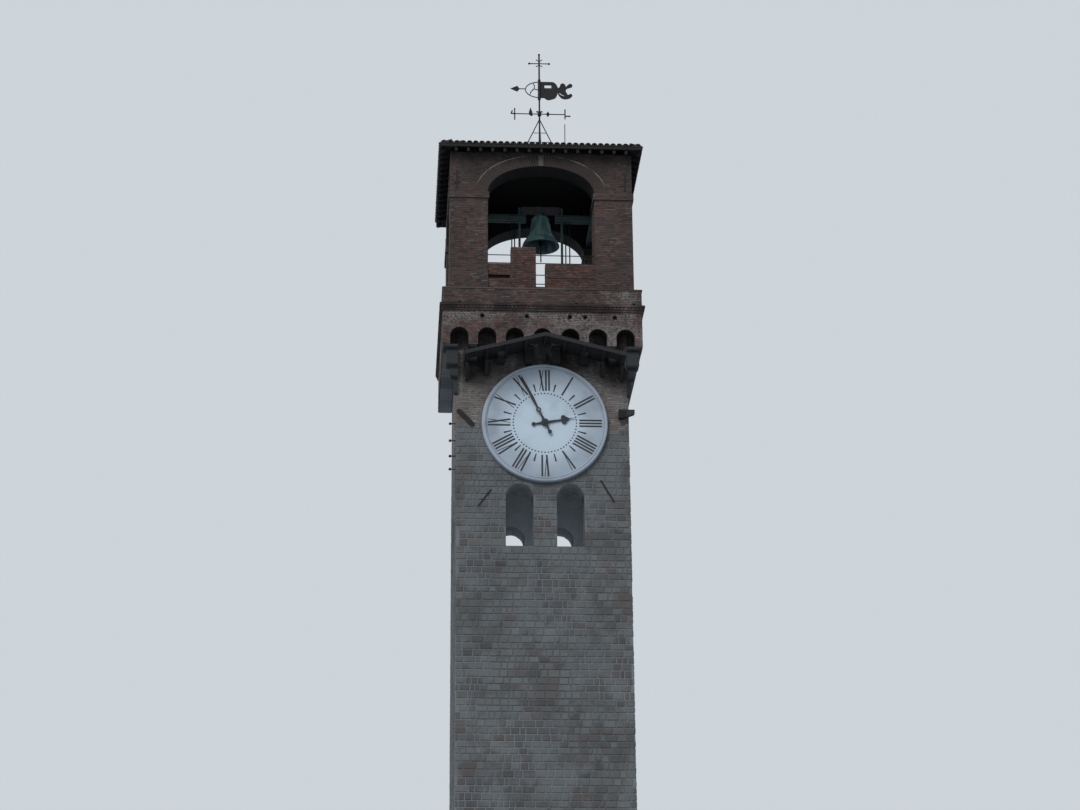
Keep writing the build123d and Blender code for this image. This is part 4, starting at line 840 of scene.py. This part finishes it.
def slope_places(side, half, out, offset, lift, rng):
    """Where the tiles of one roof slope lie, in rows up the slope as far as the hips."""
    rows = int(2 * half / TILE_PITCH) - 1
    eave = wall_place(side, out) @ Matrix.Translation((0, eave_top, 0))
    slope = eave @ Matrix.Rotation(ROOF_PITCH - math.pi / 2, 4, "X")
    for i in range(rows + 1):
        along = (i - rows / 2 + offset) * TILE_PITCH
        reach = min(half - abs(along), out) / math.cos(ROOF_PITCH)
        for k in range(max(0, math.ceil((reach + EAVE_LAP - EAVE_SHORTEST) / TILE_SHOWN))):
            wobble = (Matrix.Rotation(rng.uniform(-TILE_SKEW, TILE_SKEW), 4, "Z")
                      @ Matrix.Rotation(rng.uniform(-TILE_TILT, TILE_TILT), 4, "X"))
            yield slope @ Matrix.Translation((along, k * TILE_SHOWN - EAVE_LAP, lift)) @ wobble


CLAY_TONES = (paint(58, 54, 53), paint(74, 62, 57), paint(88, 70, 60), paint(80, 76, 72),
              paint(66, 66, 62))
clay = Finish("clay_tiles")
clay_colour = clay.add("ValToRGB", {"stops": CLAY_TONES}, {0: clay.tone})
lichen = clay.noise(7.0, 4.0).step(0.55, 0.7)
overgrown = clay.blend(lichen * 0.6, clay_colour, paint(86, 90, 80))
clay.surface(Base_Color=clay.shade(overgrown, 0.6 + 0.7 * clay.noise(3.0, 4.0)),
             Roughness=0.9, Normal=clay.bump(clay.noise(80, 4.0), 0.003))

rng = random.Random("roof")
turned_over = Matrix.Rotation(math.pi, 4, "Y") @ Matrix.Translation((0, 0, -TROUGH_DROP))
for side, half, out in walls_of(EAVE_HALF):
    covers = list(slope_places(side, half, out, 0.0, COVER_LIFT, rng))
    piece(f"{side}_cover_tiles", array(half_tube(*COVER_RADII, TILE_LENGTH), covers, rng),
          clay)
    troughs = [place @ turned_over for place in slope_places(side, half, out, 0.5, 0.0, rng)]
    piece(f"{side}_trough_tiles", array(half_tube(*TROUGH_RADII, TILE_LENGTH), troughs, rng),
          clay)

ridge_half = EAVE_HALF[0] - EAVE_HALF[1]
hips = []
for way_x in (-1, 1):
    for way_y in (-1, 1):
        foot = Vector((way_x * EAVE_HALF[0], way_y * EAVE_HALF[1], eave_top + HIP_LIFTS[0]))
        head = Vector((way_x * ridge_half, 0, roof_box[1].z + HIP_LIFTS[1]))
        run = (head - foot).normalized()
        level = run.cross(Vector((0, 0, 1))).normalized()
        turn = Matrix((level, run, level.cross(run))).transposed().to_4x4()
        hips += [Matrix.Translation(foot + run * (k * HIP_SHOWN + HIP_START)) @ turn
                 for k in range(int((head - foot).length / HIP_SHOWN))]
along_ridge = Matrix.Rotation(-math.pi / 2, 4, "Z")
hips += [Matrix.Translation((x, 0, roof_box[1].z + HIP_LIFTS[0])) @ along_ridge
         for x in (-ridge_half - RIDGE_TILE_HALF, -ridge_half + RIDGE_TILE_HALF,
                   ridge_half - RIDGE_TILE_HALF)]
piece("hip_tiles", array(half_tube(*HIP_RADII, HIP_LENGTH), hips, rng), clay)

eaves_oak = old_oak("eaves_oak", paint(22, 20, 20), paint(36, 32, 31))
sooty_shaded_oak = old_oak("sooty_shaded_oak", paint(13, 12, 12), paint(20, 18, 18))
dress(sooty_shaded_oak, "rafters", "roof_deck")
for side, half, out in walls_of(EAVE_HALF):
    fillet = panel(-half + FILLET_INSET, half - FILLET_INSET, eave_top, eave_top + FILLET_HEIGHT)
    fillet_bed = (wall_place(side, out - FILLET_SETBACK), [fillet])
    piece(f"{side}_eave_fillet", raise_blocks(rng, [fillet_bed], FILLET_PROUD, FILLET_ARRIS),
          eaves_oak)

# Hood over the dial: a low gable of oak boards, black with tar and painted shade, on joists and
# knee brackets. Dull sheet metal covers its top and turns down over the edge as a thin drip that
# catches the light.
HOOD_BOARD = 0.09
HOOD_DROP = 0.348
DRIP_HEIGHT = 0.010
DRIP_PROUD = 0.006
DRIP_ARRIS = 0.002
fascia_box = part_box("hood_fascia")

tarred_shaded_boards = Finish("tarred_shaded_boards")
tar_and_shade_colour = tarred_shaded_boards.blend(tarred_shaded_boards.noise(9, 4.0, (1, 0.1, 0.3)), paint(17, 20, 22),
                          paint(33, 36, 38))
# Faces that look to the front are painted darker still: painted shade.
tar_with_front_shade = tarred_shaded_boards.shade(tar_and_shade_colour, 1 - 0.6 * tarred_shaded_boards.facing(1).step(-0.5, -0.8))
sheeting = tarred_shaded_boards.blend(tarred_shaded_boards.noise(5, 4.0), paint(60, 66, 69), paint(84, 90, 92))
covered = tarred_shaded_boards.facing(2).step(0.5, 0.7)
board_place = (tarred_shaded_boards.x * (1 / HOOD_BOARD)).fraction()
seam = (board_place - 0.5).unsigned().step(0.44, 0.49)
tarred_shaded_boards.surface(
    Base_Color=tarred_shaded_boards.shade(tarred_shaded_boards.blend(covered, tar_with_front_shade, sheeting),
                                   1 - 0.5 * seam * (1 - covered)),
    Roughness=0.75, Normal=tarred_shaded_boards.bump(1 - seam, 0.003))
dress(tarred_shaded_boards, "hood_deck", "hood_joists", "hood_fascia", "hood_brackets")

sheet_metal = Finish("sheet_metal")
sheet_metal.surface(Base_Color=sheet_metal.blend(sheet_metal.noise(7, 4.0), paint(64, 70, 74),
                                                 paint(92, 98, 101)),
                    Metallic=0.3, Roughness=0.5)
hood_half = (fascia_box[1].x - fascia_box[0].x) / 2
hood_middle = (fascia_box[0].x + fascia_box[1].x) / 2
hood_apex = fascia_box[1].z
drip = []
for way in (-1, 1):
    end = hood_middle + way * hood_half
    drip.append([(end, hood_apex - HOOD_DROP - DRIP_HEIGHT), (hood_middle, hood_apex - DRIP_HEIGHT),
                 (hood_middle, hood_apex), (end, hood_apex - HOOD_DROP)][::way])
drip_bed = (wall_place("front", -fascia_box[0].y), drip)
piece("hood_drip", raise_blocks(random.Random("drip"), [drip_bed], DRIP_PROUD, DRIP_ARRIS),
      sheet_metal)

# Dial: a flat face of pale painted metal in a plain rim, with black Roman numerals that all stand
# with their feet to the middle, half-hour marks and a ring of sixty minute squares.
FACE_OUT = 0.06
NUMERAL_FOOT = 0.547 * DIAL_R
NUMERAL_HEAD = 0.907 * DIAL_R
NUMERAL_PROUD = 0.003
NUMERAL_ARRIS = 0.0008
THICK = 0.028
THIN = 0.010
STROKE_GAP = 0.052
CROSS_WIDTH = 0.088
NUMERALS = ("XII", "I", "II", "III", "IIII", "V", "VI", "VII", "VIII", "IX", "X", "XI")
MINUTE_RING = 0.502 * DIAL_R
MINUTE_SQUARE = 0.021
HALF_MARK = (0.545 * DIAL_R, 0.675 * DIAL_R)
HALF_MARK_FOOT = 0.016
HALF_MARK_HEAD = 0.028
GROOVE = 0.945 * DIAL_R


def stroke(foot, head, width):
    """A straight stroke of a numeral, cut level at both ends."""
    return [(foot - width / 2, NUMERAL_FOOT), (foot + width / 2, NUMERAL_FOOT),
            (head + width / 2, NUMERAL_HEAD), (head - width / 2, NUMERAL_HEAD)]


def numeral(letters):
    """Outlines of the strokes of one numeral, upright and centred over the dial's middle."""
    widths = {"I": STROKE_GAP, "V": CROSS_WIDTH + THIN, "X": CROSS_WIDTH + THIN}
    lean = CROSS_WIDTH / 2 - THICK / 2
    left = -sum(widths[letter] for letter in letters) / 2
    for letter in letters:
        middle = left + widths[letter] / 2
        if letter == "I":
            yield stroke(middle, middle, THICK)
        elif letter == "V":
            yield stroke(middle, middle - lean, THICK)
            yield stroke(middle, middle + lean, THIN)
        else:
            yield stroke(middle + lean, middle - lean, THICK)
            yield stroke(middle - lean, middle + lean, THIN)
        left += widths[letter]


def dial_turned(share):
    """The dial's face turned clockwise by a share of a full turn."""
    return dial_place @ Matrix.Rotation(-math.tau * share, 4, "Z")


dial_place = (wall_place("front", SHAFT_HALF[1] + FACE_OUT)
              @ Matrix.Translation((DIAL_X, DIAL_Z, 0)))
half_mark = [(-HALF_MARK_FOOT / 2, HALF_MARK[0]), (HALF_MARK_FOOT / 2, HALF_MARK[0]),
             (HALF_MARK_HEAD / 2, HALF_MARK[1]), (-HALF_MARK_HEAD / 2, HALF_MARK[1])]
minute = panel(-MINUTE_SQUARE / 2, MINUTE_SQUARE / 2, MINUTE_RING - MINUTE_SQUARE / 2,
               MINUTE_RING + MINUTE_SQUARE / 2)
marks = []
for hour, letters in enumerate(NUMERALS):
    marks.append((dial_turned(hour / 12), list(numeral(letters))))
    marks.append((dial_turned((hour + 0.5) / 12), [half_mark]))
marks += [(dial_turned(i / 60), [minute]) for i in range(60)]

dial_black = Finish("dial_black")
dial_black.surface(Base_Color=dial_black.blend(dial_black.noise(40, 3.0), paint(15, 19, 23),
                                               paint(30, 35, 40)), Roughness=0.55)
piece("dial_numerals", raise_blocks(random.Random("dial"), marks, NUMERAL_PROUD, NUMERAL_ARRIS),
      dial_black)
dress(dial_black, "hour_hand", "minute_hand")

dial_white = Finish("dial_white")
DIAL_MIDDLE = (DIAL_X, -SHAFT_HALF[1] - FACE_OUT, DIAL_Z)
from_middle = dial_white.add("VectorMath", {"operation": "DISTANCE"},
                             {0: dial_white.point, 1: DIAL_MIDDLE}, "Value")
# Paler towards the middle and darker towards the rim.
paler_middle = dial_white.blend(from_middle.step(0.3 * DIAL_R, DIAL_R), paint(182, 198, 210),
                         paint(160, 173, 186))
# A thin dark ring where the face meets the rim: painted shade in the groove.
groove_shade = (from_middle - GROOVE).unsigned().step(0.007, 0.003)
grime_and_groove_shade = (1 - 0.22 * dial_white.noise(2.2, 5.0).step(0.45, 0.75) - 0.45 * groove_shade
         - 0.16 * from_middle.step(0.5 * DIAL_R, 0.8 * DIAL_R))
dial_white.surface(Base_Color=dial_white.shade(paler_middle, grime_and_groove_shade), Roughness=0.5,
                   Normal=dial_white.bump(dial_white.noise(4, 2.0), 0.002))
dress(dial_white, "dial_face", "dial_rim")

# Bell: cast bronze with a green skin that runs in pale streaks down its sides. It hangs from a
# headstock of weathered oak, held by iron straps painted as the beams are.
verdigris = Finish("verdigris")
runs = verdigris.noise(12, 4.0, (1, 1, 0.12))
patina = verdigris.blend(runs.step(0.35, 0.7), paint(84, 114, 118), paint(134, 168, 164))
verdigris.surface(Base_Color=verdigris.shade(patina, 0.7 + 0.5 * verdigris.noise(5, 4.0)),
                  Metallic=0.35, Roughness=0.55,
                  Normal=verdigris.bump(verdigris.noise(30, 4.0), 0.002))
dress(verdigris, "bell")
pale_oak = old_oak("pale_oak", paint(68, 66, 68), paint(96, 92, 93))
dress(pale_oak, "headstock")

# Ironwork: the belfry's green-painted channel beams and posts, and plain black wrought iron for
# the rails, rods, anchors, mast and vane, with rust where the paint has gone.
green_steel = Finish("green_steel")
worn = green_steel.noise(6, 4.0).step(0.5, 0.7)
green_steel.surface(Base_Color=green_steel.blend(worn, paint(70, 92, 90), paint(58, 66, 64)),
                    Roughness=0.6, Metallic=0.2)
dress(green_steel, "bell_beams", "bell_posts", "headstock_straps")
black_iron = Finish("black_iron")
rusted = black_iron.noise(9, 5.0).step(0.52, 0.68)
black_iron.surface(Base_Color=black_iron.blend(rusted * 0.6, paint(20, 23, 26), paint(48, 38, 33)),
                   Roughness=0.65, Metallic=0.4,
                   Normal=black_iron.bump(black_iron.noise(60, 3.0), 0.001))
dress(black_iron, "guard_rails", "pull_rods", "clapper", "mast", "mast_braces", "compass_arms",
      "wind_vane", "lightning_rod", "wall_anchors", "wall_bars", "wall_hooks")

# Studio: a pale floor and sky that only the camera sees as pale, one broad high light from the
# front left, and a camera at eye height far in front of the tower, looking up.
FLOOR_SIZE = 400.0
PALE = paint(205, 212, 218)
SKY_LIGHT = (0.62, 0.66, 0.70, 1.0)
KEY_ENERGY = 1.7
KEY_SPREAD = math.radians(25)
KEY_TURN = (math.radians(48), 0, math.radians(-32))
ground = bmesh.new()
bmesh.ops.create_grid(ground, x_segments=1, y_segments=1, size=FLOOR_SIZE)
floor_data = bpy.data.meshes.new("floor")
ground.to_mesh(floor_data)
ground.free()
floor = bpy.data.objects.new("floor", floor_data)
bpy.context.scene.collection.objects.link(floor)
floor_finish = Finish("floor_finish")
seen = floor_finish.add("LightPath", {}, {}, "Is Camera Ray")
floor_finish.surface(Base_Color=floor_finish.blend(seen, paint(150, 155, 160), PALE),
                     Roughness=0.9)
floor_data.materials.append(floor_finish.material)

world = bpy.data.worlds.new("studio")
bpy.context.scene.world = world
world.use_nodes = True
sky = world.node_tree.nodes["Background"]
path = world.node_tree.nodes.new("ShaderNodeLightPath")
tint = world.node_tree.nodes.new("ShaderNodeMix")
tint.data_type = "RGBA"
tint.inputs[6].default_value = SKY_LIGHT
tint.inputs[7].default_value = PALE
world.node_tree.links.new(path.outputs["Is Camera Ray"], tint.inputs[0])
world.node_tree.links.new(tint.outputs[2], sky.inputs["Color"])

key_data = bpy.data.lights.new("key", "SUN")
key_data.energy = KEY_ENERGY
key_data.angle = KEY_SPREAD
key = bpy.data.objects.new("key", key_data)
key.rotation_euler = KEY_TURN
bpy.context.scene.collection.objects.link(key)

CAMERA_AT = Vector((-2.560, -42.222, 0.845))
CAMERA_HEADING = math.radians(3.524)
CAMERA_PITCH = math.radians(22.158)
CAMERA_ROLL = math.radians(0.436)
CAMERA_LENS = 88.33
ahead = Vector((math.sin(CAMERA_HEADING) * math.cos(CAMERA_PITCH),
                math.cos(CAMERA_HEADING) * math.cos(CAMERA_PITCH), math.sin(CAMERA_PITCH)))
level = Vector((math.cos(CAMERA_HEADING), -math.sin(CAMERA_HEADING), 0))
rising = level.cross(ahead)
sideways = level * math.cos(CAMERA_ROLL) - rising * math.sin(CAMERA_ROLL)
upwards = level * math.sin(CAMERA_ROLL) + rising * math.cos(CAMERA_ROLL)
camera_turn = Matrix((sideways, upwards, -ahead)).transposed().to_4x4()
camera_data = bpy.data.cameras.new("eye_view")
camera_data.lens = CAMERA_LENS
camera_data.clip_end = 500
camera = bpy.data.objects.new("eye_view", camera_data)
camera.matrix_world = Matrix.Translation(CAMERA_AT) @ camera_turn
bpy.context.scene.collection.objects.link(camera)
bpy.context.scene.camera = camera
bpy.context.scene.view_settings.view_transform = "Standard"
